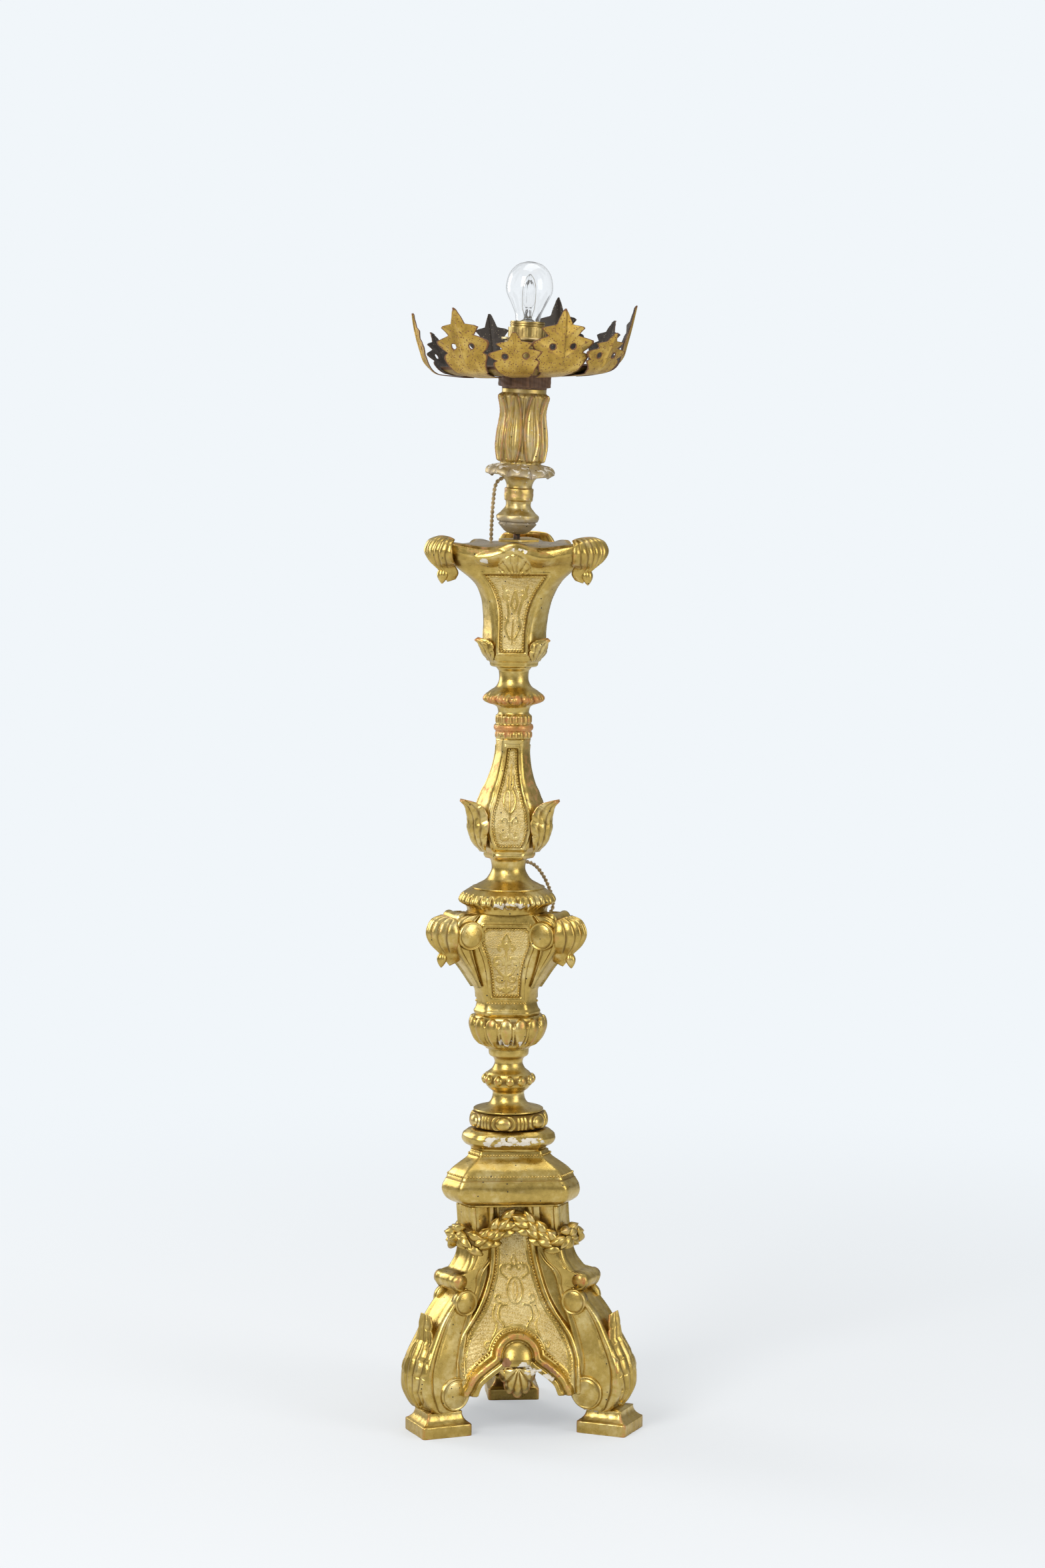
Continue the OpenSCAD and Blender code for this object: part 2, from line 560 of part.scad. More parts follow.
module lower_scroll(i) color(gilt) translate([sway(z_lower_lip), 0, 0]) difference() {
    column_corner(i) {
        side_cut(lower_scroll_w) polygon(concat(scroll_back, scroll_front));
        for (side = [-1, 1]) translate([lower_corner_r + 3, side * (lower_scroll_w / 2 - 4), z_lower_lip - 5])
            rotate([-90 * side, 0, 0]) cylinder(r = lower_volute_r, h = 4 + 2 * volute_t, $fn = 48);
        translate([lower_corner_r + 11, 0, z_lower_lip + 12]) rotate([90, 0, 0])
            cylinder(r = 8, h = lower_scroll_w - 4, center = true, $fn = 32);
    }
    // the volutes are cut back to the body between them
    translate([0, 0, z_lower_lip - 30]) linear_extrude(height = 60) polygon([for (k = [0:sides - 1]) let (a = 360 * k / sides)
        (outline_r(a, lower_a, lower_corner_r, 14) + touch_gap) * [cos(a), sin(a)]]);
}

// A ribbed shell: an outer edge in the console's plane, ribs across it, and a flat back.
module ribbed_shell(edge, back, widths, ribs, depth) {
    n = len(edge) - 1;
    across = 4 * ribs;
    sections = [for (k = [0:n]) let (
        p = edge[k], q = back[k],
        w = between(widths, k / n))
        concat([for (j = [0:across]) let (
            u = -1 + 2 * j / across,
            dome = sqrt(max(0, 1 - u * u * 0.96)),
            rib = 1 - depth * (0.5 - 0.5 * cos(360 * ribs * (u + 1) / 2)) * dome)
            [q[0] + (p[0] - q[0]) * dome * rib, w * u, q[1] + (p[1] - q[1]) * dome * rib]])];
    swept(sections);
}
lower_shell_edge = smooth([[lower_corner_r + 27, z_lower_lip + 17], [lower_reach - 7, z_lower_lip + 12],
    [lower_reach, z_lower_lip - 3], [lower_reach - 5, z_lower_lip - 17], [lower_corner_r + 31, z_lower_lip - 30],
    [lower_corner_r + 19, z_lower_lip - 44]], 2);
lower_shell_back = smooth([[lower_corner_r + 17.4, z_lower_lip + 11], [lower_corner_r + 17.4, z_lower_lip + 5],
    [lower_corner_r + 16.9, z_lower_lip - 4], [lower_corner_r + 15.9, z_lower_lip - 17], [lower_corner_r + 11.9, z_lower_lip - 28],
    [lower_corner_r + 4.9, z_lower_lip - 38]], 2);
module lower_shells() color(gilt) translate([sway(z_lower_lip), 0, 0]) for (i = [1:3]) column_corner(i)
    ribbed_shell(lower_shell_edge, lower_shell_back, [[0, 0.62 * lower_scroll_w], [0.3, 0.8 * lower_scroll_w],
        [0.6, 0.62 * lower_scroll_w], [0.85, 0.26 * lower_scroll_w], [1, 0.06 * lower_scroll_w]], 4, 0.2);

module gadroon_collar() color(gilt) stretched(
    [[0.83, 0], [0.84, 0.14], [0.88, 0.28], [0.96, 0.38], [1, 0.46], [0.98, 0.62], [0.91, 0.8], [0.82, 0.93], [0.77, 1]],
    collar_r, collar_h, z_collar);

module waisted_neck() color(gilt) stacked(concat([[waist_r, z_waist], [waist_r, z_waist + 1.6]],
    [for (p = smooth([[0.84, 0.13], [0.66, 0.25], [0.56, 0.38], [0.465, 0.62], [0.49, 0.9], [0.56, 1]], 3))
        [p[0] * waist_r, z_waist + p[1] * waist_h]]));

// Pear rows: [share of the height, face, corner], the last two as shares of the fullest face
pear_rows = [[0, 0.72, 0.74], [0.03, 0.78, 0.8], [0.05, 0.74, 0.8], [0.1, 0.86, 0.96], [0.17, 0.94, 1.07], [0.27, 1, 1.15],
    [0.38, 0.98, 1.13], [0.46, 0.93, 1.07], [0.52, 0.86, 0.97], [0.56, 0.81, 0.92], [0.62, 0.7, 0.8], [0.69, 0.62, 0.69],
    [0.76, 0.55, 0.615], [0.83, 0.505, 0.56], [0.89, 0.48, 0.525], [0.96, 0.49, 0.535], [1, 0.52, 0.54]];
module pear() color(gilt)
    bored_loft([for (row = pear_rows) [z_pear + row[0] * pear_h, row[1] * pear_a, row[2] * pear_a]], bore_r);

// A cupped leaf standing against a corner: foot, belly and curled tip in the corner's own plane.
module corner_leaf(edge, back, half_w, widths) {
    n = len(edge) - 1;
    sections = [for (k = [0:n]) let (p = edge[k], q = back[k], w = half_w * between(widths, k / n))
        [for (s = [[-1, 0], [-0.95, 0.35], [-0.5, 0.86], [-0.2, 0.78], [0, 1], [0.2, 0.78], [0.5, 0.86], [0.95, 0.35], [1, 0]])
            [q[0] + (p[0] - q[0]) * s[1], s[0] * w, q[1] + (p[1] - q[1]) * s[1]]]];
    swept(sections);
}
pear_corner = 1.16 * pear_a + touch_gap;
pear_leaf_edge = smooth([[pear_corner - 4, z_pear + 9], [pear_reach - 19, z_pear + 19], [pear_reach - 13, z_pear + 34],
    [pear_reach - 12, z_pear + 49], [pear_reach - 7, z_pear + 62], [pear_reach, z_pear + 69]], 2);
pear_leaf_back = smooth([[pear_corner - 5.5, z_pear + 8], [pear_corner, z_pear + 20], [pear_corner, z_pear + 34],
    [pear_corner, z_pear + 51], [pear_corner + 7, z_pear + 66], [pear_reach - 3, z_pear + 72]], 2);
module pear_leaves() color(gilt) translate([sway(z_pear + 40), 0, 0]) for (i = [1:3]) column_corner(i)
    corner_leaf(pear_leaf_edge, pear_leaf_back, 22, [[0, 0.4], [0.25, 0.85], [0.5, 1], [0.75, 0.8], [0.9, 0.4], [1, 0.12]]);

module upper_baluster() color(gilt) stacked(concat(
    [for (p = [[19.3, 0], [20.8, 2], [20.8, 7], [19.5, 8.5]]) [p[0], z_upper + p[1]]],
    [for (p = smooth([[21.6, 9.6], [22.8, 12.5], [22.2, 16], [19.8, 17.8]], 2)) [p[0], z_upper + p[1]]],
    [for (p = [[20.2, 19.5], [20.2, 26.5], [18.2, 29]]) [p[0], z_upper + p[1]]],
    [for (p = smooth([[18, 31], [19.6, 37], [24, 40.5], [skirt_r - 4, 44], [skirt_r, 47], [skirt_r - 2.5, 51.5],
        [28.2, 56.5], [21.5, 61], [18, 67], [17.2, 73], [17.8, 80]], 2)) [p[0], z_upper + p[1]]],
    [[20.5, z_bell - 1.5], [20.5, z_bell]]));

// Upper capital rows: [share of the height, face share of the lip, corner share of the top corner, rise and fall]
bell_rows = [[0, 0.38, 0.25], [0.015, 0.41, 0.27], [0.035, 0.41, 0.27], [0.05, 0.44, 0.3], [0.115, 0.5, 0.345],
    [0.19, 0.51, 0.355], [0.28, 0.505, 0.36], [0.37, 0.505, 0.375], [0.46, 0.515, 0.4], [0.53, 0.53, 0.425],
    [0.59, 0.555, 0.465], [0.64, 0.58, 0.51], [0.7, 0.63, 0.6], [0.76, 0.7, 0.73], [0.82, 0.8, 0.87, 1],
    [0.87, 0.92, 0.96, 2.5], [0.92, 1, 1, 4], [0.97, 0.99, 0.99, 4.5], [0.985, 0.9, 0.92, 3]];
module upper_capital() color(gilt) rotate([0, 0, bell_turn])
    bored_loft(concat([for (row = bell_rows) [z_bell + row[0] * bell_h, row[1] * bell_a, row[2] * bell_c, row[3]]],
        [[z_block, 32, 32]]), bore_r, n = 48);

bell_shell_edge = smooth([[bell_c - 2, z_block + 8], [bell_reach - 8, z_block + 5], [bell_reach - 1, z_block - 4],
    [bell_reach, z_block - 13], [bell_reach - 5, z_block - 24], [bell_reach - 14, z_block - 33],
    [bell_reach - 20, z_block - 40], [bell_reach - 24, z_block - 46]], 2);
bell_shell_back = smooth([[bell_c - 4, z_block + 4], [bell_c + 1, z_block - 3], [bell_c + 1.2, z_block - 8],
    [bell_c + 1, z_block - 14], [bell_c - 3, z_block - 21], [bell_c - 13, z_block - 29], [bell_c - 17, z_block - 36],
    [bell_c - 16, z_block - 43]], 2);
module upper_shell(i) color(gilt) translate([sway(z_block), 0, 0]) column_corner(i, bell_turn)
    ribbed_shell(bell_shell_edge, bell_shell_back, [[0, 30], [0.3, 34], [0.55, 27], [0.72, 12], [0.85, 11], [1, 4]], 4, 0.18);

z_tip = z_bell + 0.2 * bell_h;
bell_leaf_r = 0.36 * bell_c - 3 * touch_gap;
bell_leaf_edge = smooth([[bell_leaf_r - 2.5, z_bell + 8], [bell_leaf_r + 5, z_tip - 12], [bell_leaf_r + 11, z_tip - 2],
    [bell_leaf_r + 17, z_tip + 3]], 2);
bell_leaf_back = smooth([[bell_leaf_r - 3.5, z_bell + 7], [bell_leaf_r, z_tip - 12], [bell_leaf_r + 2, z_tip + 1],
    [bell_leaf_r + 12, z_tip + 6]], 2);
module capital_leaves() color(gilt) translate([sway(z_tip), 0, 0]) for (i = [1:3]) column_corner(i, bell_turn)
    corner_leaf(bell_leaf_edge, bell_leaf_back, 19, [[0, 0.5], [0.35, 0.95], [0.6, 0.9], [0.85, 0.45], [1, 0.12]]);

module top_block() color(gilt) translate([0, 0, z_block]) difference() {
    translate([sway(z_block), 0, 0]) rotate([0, 0, 30]) cylinder(r = block_top_r, h = block_top_h, $fn = 6);
    translate([rod_bend, 0, -1]) cylinder(r = rod_d / 2 + swelling + 0.05, h = block_top_h + 2, $fn = 32);
}

// ---- Rod and candle cup ----
washer_t = 3;
nut_t = 8;
z_nut = base_h - block_h - washer_t - nut_t;
rod_in_cup = foot_h + 20;
// Everything over the top block stands on the leaning end of the rod.
module leaned() translate([rod_bend, 0, z_top]) rotate([0, cup_lean, 0]) children();

// Each row is [place, height, radius, lean] of one ring of the rod. It bends in the bore, swells where it is
// forged into the top block, and leans from there.
rod_rows = [[0, z_nut - 10, rod_d / 2, 0], [0, z_bell + 20, rod_d / 2, 0], [rod_bend, z_block - 20, rod_d / 2, 0],
    [rod_bend, z_block, rod_d / 2, 0], [rod_bend, z_block, rod_d / 2 + swelling, 0],
    [rod_bend, z_top, rod_d / 2 + swelling, 0], [rod_bend, z_top, rod_d / 2, 0],
    [rod_bend + (rod_show + rod_in_cup) * sin(cup_lean), z_top + (rod_show + rod_in_cup) * cos(cup_lean), rod_d / 2, cup_lean]];
rod_sides = 24;
module tie_rod() color(iron) swept([for (row = rod_rows) [for (k = [0:rod_sides - 1]) let (a = -360 * k / rod_sides)
    [row[0] + row[2] * cos(a) * cos(row[3]), row[2] * sin(a), row[1] - row[2] * cos(a) * sin(row[3])]]]);
module rod_nut() color(iron) difference() {
    union() {
        translate([0, 0, z_nut + nut_t]) cylinder(r = 15, h = washer_t, $fn = 48);
        translate([0, 0, z_nut]) cylinder(r = 9, h = nut_t, $fn = 6);
    }
    translate([0, 0, z_nut - 1]) cylinder(r = rod_d / 2 + 0.05, h = nut_t + washer_t + 2, $fn = 32);
}

// Heights over the top block, along the leaning axis
c_foot = rod_show;
c_body = c_foot + foot_h;
c_band = c_body + tulip_h;
c_dish = c_band + band_h;
cup_bore = rod_d / 2 + touch_gap;
waist_cup_r = 15.2;
skirt_seat_r = 24;
skirt_low = 14;
skirt_high = 30;

module cup_foot() color(gilt) leaned() turned(concat(
    [for (p = smooth([[7, 0], [13, 2.5], [18, 6.6], [ball_r - 2.2, 12.4]], 2)) [p[0], c_foot + p[1]]],
    [[ball_r - 2.9, c_foot + 13], [ball_r - 1.6, c_foot + 13.6]],
    [for (p = smooth([[ball_r, 17.5], [ball_r - 0.4, 21.5], [ball_r - 4.6, 25.2], [16, 30], [14.5, 34.5], [15, 38.6]], 2))
        [p[0], c_foot + p[1]]],
    [[16.4, c_foot + 39.4], [16.4, c_body]]), cup_bore);

module cup_body() color(gilt) leaned() turned(concat(
    [for (p = smooth([[waist_cup_r, 0], [waist_cup_r, 4], [17.5, 9.5], [skirt_seat_r - 3, skirt_low - 1]], 2)) [p[0], c_body + p[1]]],
    [[skirt_seat_r, c_body + skirt_low], [skirt_seat_r, c_body + skirt_high]],
    [for (p = smooth([[tulip_r * 0.93, 32.5], [tulip_r, 48], [tulip_r * 0.965, 65], [tulip_r * 0.875, 86],
        [tulip_r * 0.93, 98], [tulip_r, 105], [tulip_r * 0.985, 108]], 3)) [p[0], c_body + p[1] * tulip_h / 116]],
    [[26, c_band - 5], [26, c_band]]), cup_bore);

module cup_skirt() color(gilt) leaned() rotate_extrude($fn = 72) polygon(concat(
    [[skirt_seat_r + 0.05, c_body + skirt_low + 4]],
    smooth([[skirt_seat_r + 5, c_body + 17], [cup_skirt_r - 6, c_body + 18.5], [cup_skirt_r - 1.5, c_body + 15.2],
        [cup_skirt_r, c_body + 17.5], [cup_skirt_r - 3, c_body + 23], [skirt_seat_r + 6, c_body + 26.5]], 3),
    [[skirt_seat_r + 0.05, c_body + skirt_high - 1]]));

// The pan sits askew on its collar, tipped up to the +X side.
module tipped() translate([0, 0, c_dish]) rotate([0, -pan_tilt, 0]) children();
module tipped_slab(low) tipped() translate([-dish_r, -dish_r, low]) cube([2 * dish_r, 2 * dish_r, 20]);
module cup_collar() color("#6b4a34") leaned() difference() {
    turned([[band_r - 4.5, c_band], [band_r - 4.5, c_band + 1.5], [band_r, c_band + 2.5], [band_r, c_dish + 4]], cup_bore);
    tipped_slab(0);
}

// ---- Drip pan ----
holder_hole = 5.5;
dish_flat_r = 76;
dish_line = concat([[holder_hole, 0], [dish_flat_r, 0]],
    smooth([[dish_flat_r + 3.5, dish_h * 0.04], [84, dish_h * 0.12], [dish_r - 5, dish_h * 0.5], [dish_r, dish_h]], 3));
module drip_pan() color(iron) leaned() tipped() rotate_extrude($fn = 72) polygon(concat(
    dish_line, [for (k = [len(dish_line) - 1:-1:0]) [dish_line[k][0] - (k > 2 ? 0.6 : 0), dish_line[k][1] + sheet_t]]));

// Each leaf: [bearing from +X in degrees, height of its tip over the dish, share of the full width]
leaves = [[3, 79, 1], [38, 64, 0.86], [71, 90, 1], [108, 74, 0.86], [146, 53, 0.86], [184, 74, 1], [233, 80, 1.02],
    [265, 52, 0.97], [292, 75, 1.18], [321, 50, 0.95]];
// A leaf's middle line from its foot under the dish to its tip: [distance from the axis, share of the tip's height]
leaf_line = smooth([[60, -0.001], [78, 0], [leaf_reach - 30, 0.06], [leaf_reach - 18, 0.22], [leaf_reach - 12, 0.44],
    [leaf_reach - 6, 0.7], [leaf_reach, 1]], 3);
// Half width of a leaf: [share of the length, share of the full width]
leaf_shape = [[0, 0.3], [0.17, 0.4], [0.34, 0.56], [0.4, 0.72], [0.45, 0.8], [0.5, 0.78], [0.56, 0.96], [0.61, 1],
    [0.67, 0.9], [0.72, 0.48], [0.78, 0.68], [0.83, 0.24], [0.89, 0.18], [0.95, 0.12], [1, 0.01]];
leaf_layer = 2.4;
leaf_fold = 3;
// One sheet leaf, cupped along its middle; layer is how far it stands out past its neighbours over the rim
module pan_leaf(tip_h, width, layer) {
    n = len(leaf_line) - 1;
    line = [for (k = [0:n]) let (grow = layer * min(1, max(0, (k - 3) / 3))) [leaf_line[k][0] + grow, leaf_line[k][1] * tip_h - grow * 0.4]];
    sections = [for (k = [0:n]) let (
        step = line[min(k + 1, n)] - line[max(k - 1, 0)],
        out = [step[1], -step[0]] / norm(step),
        w = leaf_half_w * width * between(leaf_shape, k / n),
        fold = leaf_fold * sin(180 * max(0, k - 3) / (n - 3)))
        [for (q = [[0, 0], [1, 0], [1, 1], [0, 1], [-1, 1], [-1, 0]]) let (d = q[1] * sheet_t - abs(q[0]) * fold)
            [line[k][0] + out[0] * d, q[0] * w, line[k][1] + out[1] * d]]];
    swept(sections);
}
// Every second leaf, from the first on, stands inside its neighbours
module pan_leaf_ring(first) color("#b08a3c") leaned() for (k = [first:2:len(leaves) - 1])
    tipped() rotate([0, 0, leaves[k][0]]) pan_leaf(leaves[k][1], leaves[k][2], first * leaf_layer);
module inner_pan_leaves() pan_leaf_ring(0);
module outer_pan_leaves() pan_leaf_ring(1);

// ---- Lamp fitting ----
c_holder = c_dish + sheet_t;
c_thread = c_holder + holder_h;
thread_floor = 3;
socket_r = bulb_cap_r + thread_gap;
c_socket = c_thread + thread_floor;
c_cap = c_socket + touch_gap;
c_flange = c_thread + 9;
c_nut = c_flange + flange_t + touch_gap;
c_glass = c_cap + bulb_cap_h;

module holder_body() color(brass) leaned() difference() {
    turned(concat(
    [[9, c_dish], [9, c_holder + 5]],
    [for (p = smooth([[12, 6.5], [holder_r - 0.6, 11], [holder_r, 16]], 3)) [p[0], c_holder + p[1]]],
    [[holder_r, c_thread - 4], [holder_r + 1.2, c_thread - 3.4], [holder_r + 1.2, c_thread]]), 5);
    tipped_slab(sheet_t - 20);
}

module holder_shell() color(brass) leaned() difference() {
    translate([0, 0, c_thread]) cylinder(r = collar_thread_r, h = collar_thread_h, $fn = 72);
    translate([0, 0, c_socket]) cylinder(r = socket_r, h = collar_thread_h, $fn = 72);
    // a wider mouth round the neck of the glass
    translate([0, 0, c_glass - 1]) cylinder(r = socket_r + 1.8, h = collar_thread_h, $fn = 72);
}

module shade_flange() color(brass) leaned() translate([0, 0, c_flange]) rotate_extrude($fn = 96) polygon([
    [collar_thread_r + 0.05, -5], [25.5, -5], [26, -4], [26, -1.6], [23, -1], [23, 0], [flange_r - 0.6, 0],
    [flange_r, 0.7], [flange_r, flange_t - 0.6], [flange_r - 0.6, flange_t], [collar_thread_r + 0.05, flange_t]]);

module ring_nut() color(brass) leaned() translate([0, 0, c_nut]) {
    ribs = 24;
    difference() {
        cylinder(r = nut_r, h = nut_h, $fn = 96);
        translate([0, 0, -1]) cylinder(r = collar_thread_r + touch_gap, h = nut_h + 2, $fn = 72);
        for (k = [0:ribs - 1]) rotate([0, 0, 360 * k / ribs]) translate([nut_r + 0.55, 0, 1.2])
            cylinder(r = 1, h = nut_h, $fn = 24);
    }
}

// The glass is a thin shell: its outside runs up from the neck, its inside runs back down.
glass_t = 0.8;
glass_line = smooth([[13.2, 0], [14.4, 4], [15.6, 12], [21, 24], [bulb_r - 1, 35], [bulb_r, bulb_h - 27.2], [bulb_r - 3.4, bulb_h - 14],
    [15.5, bulb_h - 4.2], [0, bulb_h]], 4);
module bulb_glass() color("#dfe8ea", 0.35) leaned() translate([0, 0, c_glass]) rotate_extrude($fn = 96)
    polygon(concat([for (p = glass_line) p], [for (k = [len(glass_line) - 1:-1:0]) let (p = glass_line[k])
        [max(0, p[0] - glass_t), p[1] >= bulb_h - 4.2 ? p[1] - glass_t : p[1]]]));

module bulb_capsule() color("#cfd6d8", 0.5) leaned() translate([0, 0, c_glass]) rotate_extrude($fn = 48) polygon(concat(
    [[0, 0], [10, 0], [10, 2], [4.5, 5], [4, 12]], smooth([[3.4, 18], [6, 22], [6.2, 36], [5.4, 46], [2.6, 50], [1.6, 55], [0, 57]], 3)));

module bulb_cap() color("#c8c8c0") leaned() translate([0, 0, c_cap]) rotate_extrude($fn = 96) polygon([
    [0, 0], [5, 0], [5, 1.2], [9.5, 4.5], [bulb_cap_r - 0.7, 6], [bulb_cap_r, 7], [bulb_cap_r, bulb_cap_h - 2.5],
    [12.6, bulb_cap_h], [0, bulb_cap_h]]);

// ---- Flex ----
flex_r = flex_d / 2;
// Cross product frame for a tube: one side is kept square to the up direction chosen for the route.
function unit(v) = v / norm(v);
module tube(points, up, n = 8) {
    last = len(points) - 1;
    swept([for (k = [0:last]) let (
        along = unit(points[min(k + 1, last)] - points[max(k - 1, 0)]),
        side = unit(cross(along, up)),
        top = cross(side, along))
        [for (j = [0:n - 1]) points[k] + flex_r * (cos(360 * j / n) * side - sin(360 * j / n) * top)]]);
}

// From the side of the candle cup down into the top of the upper capital
upper_route = [[-5.5, -1, 1124], [-10.5, -1.6, 1123.6], [-15.5, -2, 1122], [-20, -2, 1118.5], [-22.8, -1.6, 1112],
    [-24, -1, 1103], [-25, 0, 1093], [-25.8, 1, 1082], [-26.4, 1.6, 1071], [-26.8, 2, 1060], [-27, 2, 1050], [-27, 2, 1040]];
module upper_flex() color("#8a7350") tube(upper_route, [0, 1, 0]);

// Out of the waisted neck, over the gadrooned collar and back in under it
bypass_route = [[9.7, 10.5, 668], [14.5, 14, 668.8], [19.5, 17.6, 668.3], [25, 21.5, 665.5], [30.5, 25, 660.5],
    [35.5, 28, 653.5], [40, 31, 645.5], [43.5, 34, 637.5], [46.5, 37, 629], [48.5, 39.3, 621], [49, 40, 613.5],
    [47.2, 39, 607.5], [43, 36.4, 604.6], [37.5, 32.6, 604.6], [32, 28.8, 606], [27, 25, 607.8], [22, 21, 609]];
module bypass_flex() color("#8a7350") tube(bypass_route, [0, 1, 0]);

// The put-away length: a round coil in two layers behind the left foot, begun and ended on its inner side
coil_centre = [-91.5, 200];
coil_in = 14;
coil_pitch = 5.4;
coil_turns = 3.5;
// turns are counted from where the spiral reverses and climbs to the second layer
function coil_point(u) = let (r = coil_in + coil_pitch * abs(u), a = 360 * (u + coil_turns))
    [coil_centre[0] + r * cos(a), coil_centre[1] + r * sin(a), flex_r + coil_pitch * min(1, max(0, u + 0.25) / 0.5)];
coil_steps = 24;
coil_count = 2 * coil_turns * coil_steps;
coil_loops = [for (k = [0:coil_count]) coil_point(k / coil_steps - coil_turns)];
coil_start = coil_loops[0] - [0, flex_d, 0];
plug_end = coil_loops[coil_count] + [0, 31, 0];
coil_path = concat([coil_start], coil_loops, [plug_end - [0, flex_d, 0], plug_end]);
// least distance between centre lines that are half a turn or more apart, less the tube's thickness
coil_gap = min([for (i = [0:coil_count], j = [i + coil_steps / 2:1:coil_count]) norm(coil_loops[i] - coil_loops[j])]) - flex_d;
echo(coil_gap = coil_gap);
module flex_coil() color("#8a7350") tube(coil_path, [0, 0, 1], 6);

// From the core block inside the hollow base down to the floor, out at the back and on to the coil
tail_route = [[-20, -12, 230], [-20, -12, 214], [-20, -11.5, 200], [-20.5, -9.5, 180], [-22.5, -5, 160], [-27, 2, 140],
    [-32.5, 11, 118], [-38.5, 20.5, 96], [-44, 30, 74], [-49, 39, 53], [-54, 48, 35], [-59, 58, 20], [-64, 69, 9],
    [-68, 81, 4], [-70.5, 94, flex_r], [-71, 110, flex_r], [-69.5, 128, flex_r], [-66, 146, flex_r], [-62, 163, flex_r],
    [-59.4, 178, flex_r], coil_start - [0, flex_d, 0], coil_start];
module tail_flex() color("#8a7350") tube(tail_route, [1, 0, 0]);

// A flat two-pin plug lying on the floor past the coil, with its nose to the flex
module plug() translate([plug_end[0], plug_end[1], plug_t / 2]) {
    nose = [9, 5];
    color("#3a2a1e") intersection() {
        rotate([-90, 0, 0]) linear_extrude(height = plug_l) offset(r = 4, $fn = 24)
            square([plug_w - 8, plug_t - 8], center = true);
        linear_extrude(height = 2 * plug_t, center = true) polygon([[-nose[1], 0], [nose[1], 0], [plug_w / 2, nose[0]],
            [plug_w / 2, plug_l], [-plug_w / 2, plug_l], [-plug_w / 2, nose[0]]]);
    }
    color(brass) for (side = [-1, 1]) translate([side * 9.2, plug_l - 1, 0]) rotate([-90, 0, 0]) cylinder(r = 2, h = 20, $fn = 24);
}

// ---- Nodes ----
for (i = [1:3]) {
    plinth(i);
    leg(i);
    leg_leaf(i);
    base_panel(i);
    panel_shell(i);
    lower_scroll(i);
    upper_shell(i);
}
garland();
base_block();
base_cornice();
base_cap();
egg_ring();
lower_baluster();
gadroon_cup();
lower_capital();
lower_shells();
gadroon_collar();
waisted_neck();
pear();
pear_leaves();
upper_baluster();
upper_capital();
capital_leaves();
top_block();
tie_rod();
rod_nut();
cup_foot();
cup_body();
cup_skirt();
cup_collar();
drip_pan();
inner_pan_leaves();
outer_pan_leaves();
holder_body();
holder_shell();
shade_flange();
ring_nut();
bulb_glass();
bulb_capsule();
bulb_cap();
upper_flex();
bypass_flex();
tail_flex();
flex_coil();
plug();
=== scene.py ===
# Giltwood torchere wired as a lamp: carved pieces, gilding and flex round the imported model.
import json
import math

import bpy
import numpy as np
from mathutils import Matrix, Vector

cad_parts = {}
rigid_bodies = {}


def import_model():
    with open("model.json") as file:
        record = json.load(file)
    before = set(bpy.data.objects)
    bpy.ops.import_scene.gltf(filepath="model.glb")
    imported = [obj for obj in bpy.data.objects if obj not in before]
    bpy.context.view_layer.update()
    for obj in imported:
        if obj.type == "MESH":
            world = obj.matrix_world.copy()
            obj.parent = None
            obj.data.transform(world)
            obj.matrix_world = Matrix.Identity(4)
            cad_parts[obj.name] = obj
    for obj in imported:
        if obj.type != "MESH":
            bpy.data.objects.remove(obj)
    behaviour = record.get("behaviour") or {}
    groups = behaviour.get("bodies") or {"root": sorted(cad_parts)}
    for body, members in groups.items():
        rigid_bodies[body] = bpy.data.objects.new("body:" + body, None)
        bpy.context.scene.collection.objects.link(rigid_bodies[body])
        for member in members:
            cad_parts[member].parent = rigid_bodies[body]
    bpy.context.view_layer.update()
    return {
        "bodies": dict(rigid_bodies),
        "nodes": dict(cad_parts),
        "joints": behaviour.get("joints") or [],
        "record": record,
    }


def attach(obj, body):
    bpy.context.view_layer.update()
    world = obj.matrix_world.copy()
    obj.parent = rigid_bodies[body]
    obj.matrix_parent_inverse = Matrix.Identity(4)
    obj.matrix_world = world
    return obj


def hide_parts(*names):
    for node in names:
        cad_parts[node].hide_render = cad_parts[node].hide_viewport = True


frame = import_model()
cadNodes = frame["nodes"]
rng = np.random.default_rng(7)
pi = math.pi
join = np.concatenate


def hexToLinear(text):
    # a colour code becomes linear light: below 0.04045 a straight share, above it the power 2.4
    parts = [int(text[i:i + 2], 16) / 255 for i in (1, 3, 5)]
    return tuple(c / 12.92 if c <= 0.04045 else ((c + 0.055) / 1.055) ** 2.4 for c in parts) + (1.0,)


def addNode(tree, kind, inputs=None, out=0, stops=(), **settings):
    # adds one node, sets its properties, fills or links its inputs, and hands back one of its outputs
    node = tree.nodes.new("ShaderNode" + kind)
    for name, value in settings.items():
        setattr(node, name, value)
    for name, value in (inputs or {}).items():
        if isinstance(value, Field):
            tree.links.new(value.socket, node.inputs[name])
        else:
            node.inputs[name].default_value = hexToLinear(value) if isinstance(value, str) else value
    for k, (place, colour) in enumerate(stops):
        bar = node.color_ramp.elements
        element = bar[k] if k < len(bar) else bar.new(place)
        element.position, element.color = place, hexToLinear(colour)
    return Field(node.outputs[out]) if len(node.outputs) else node


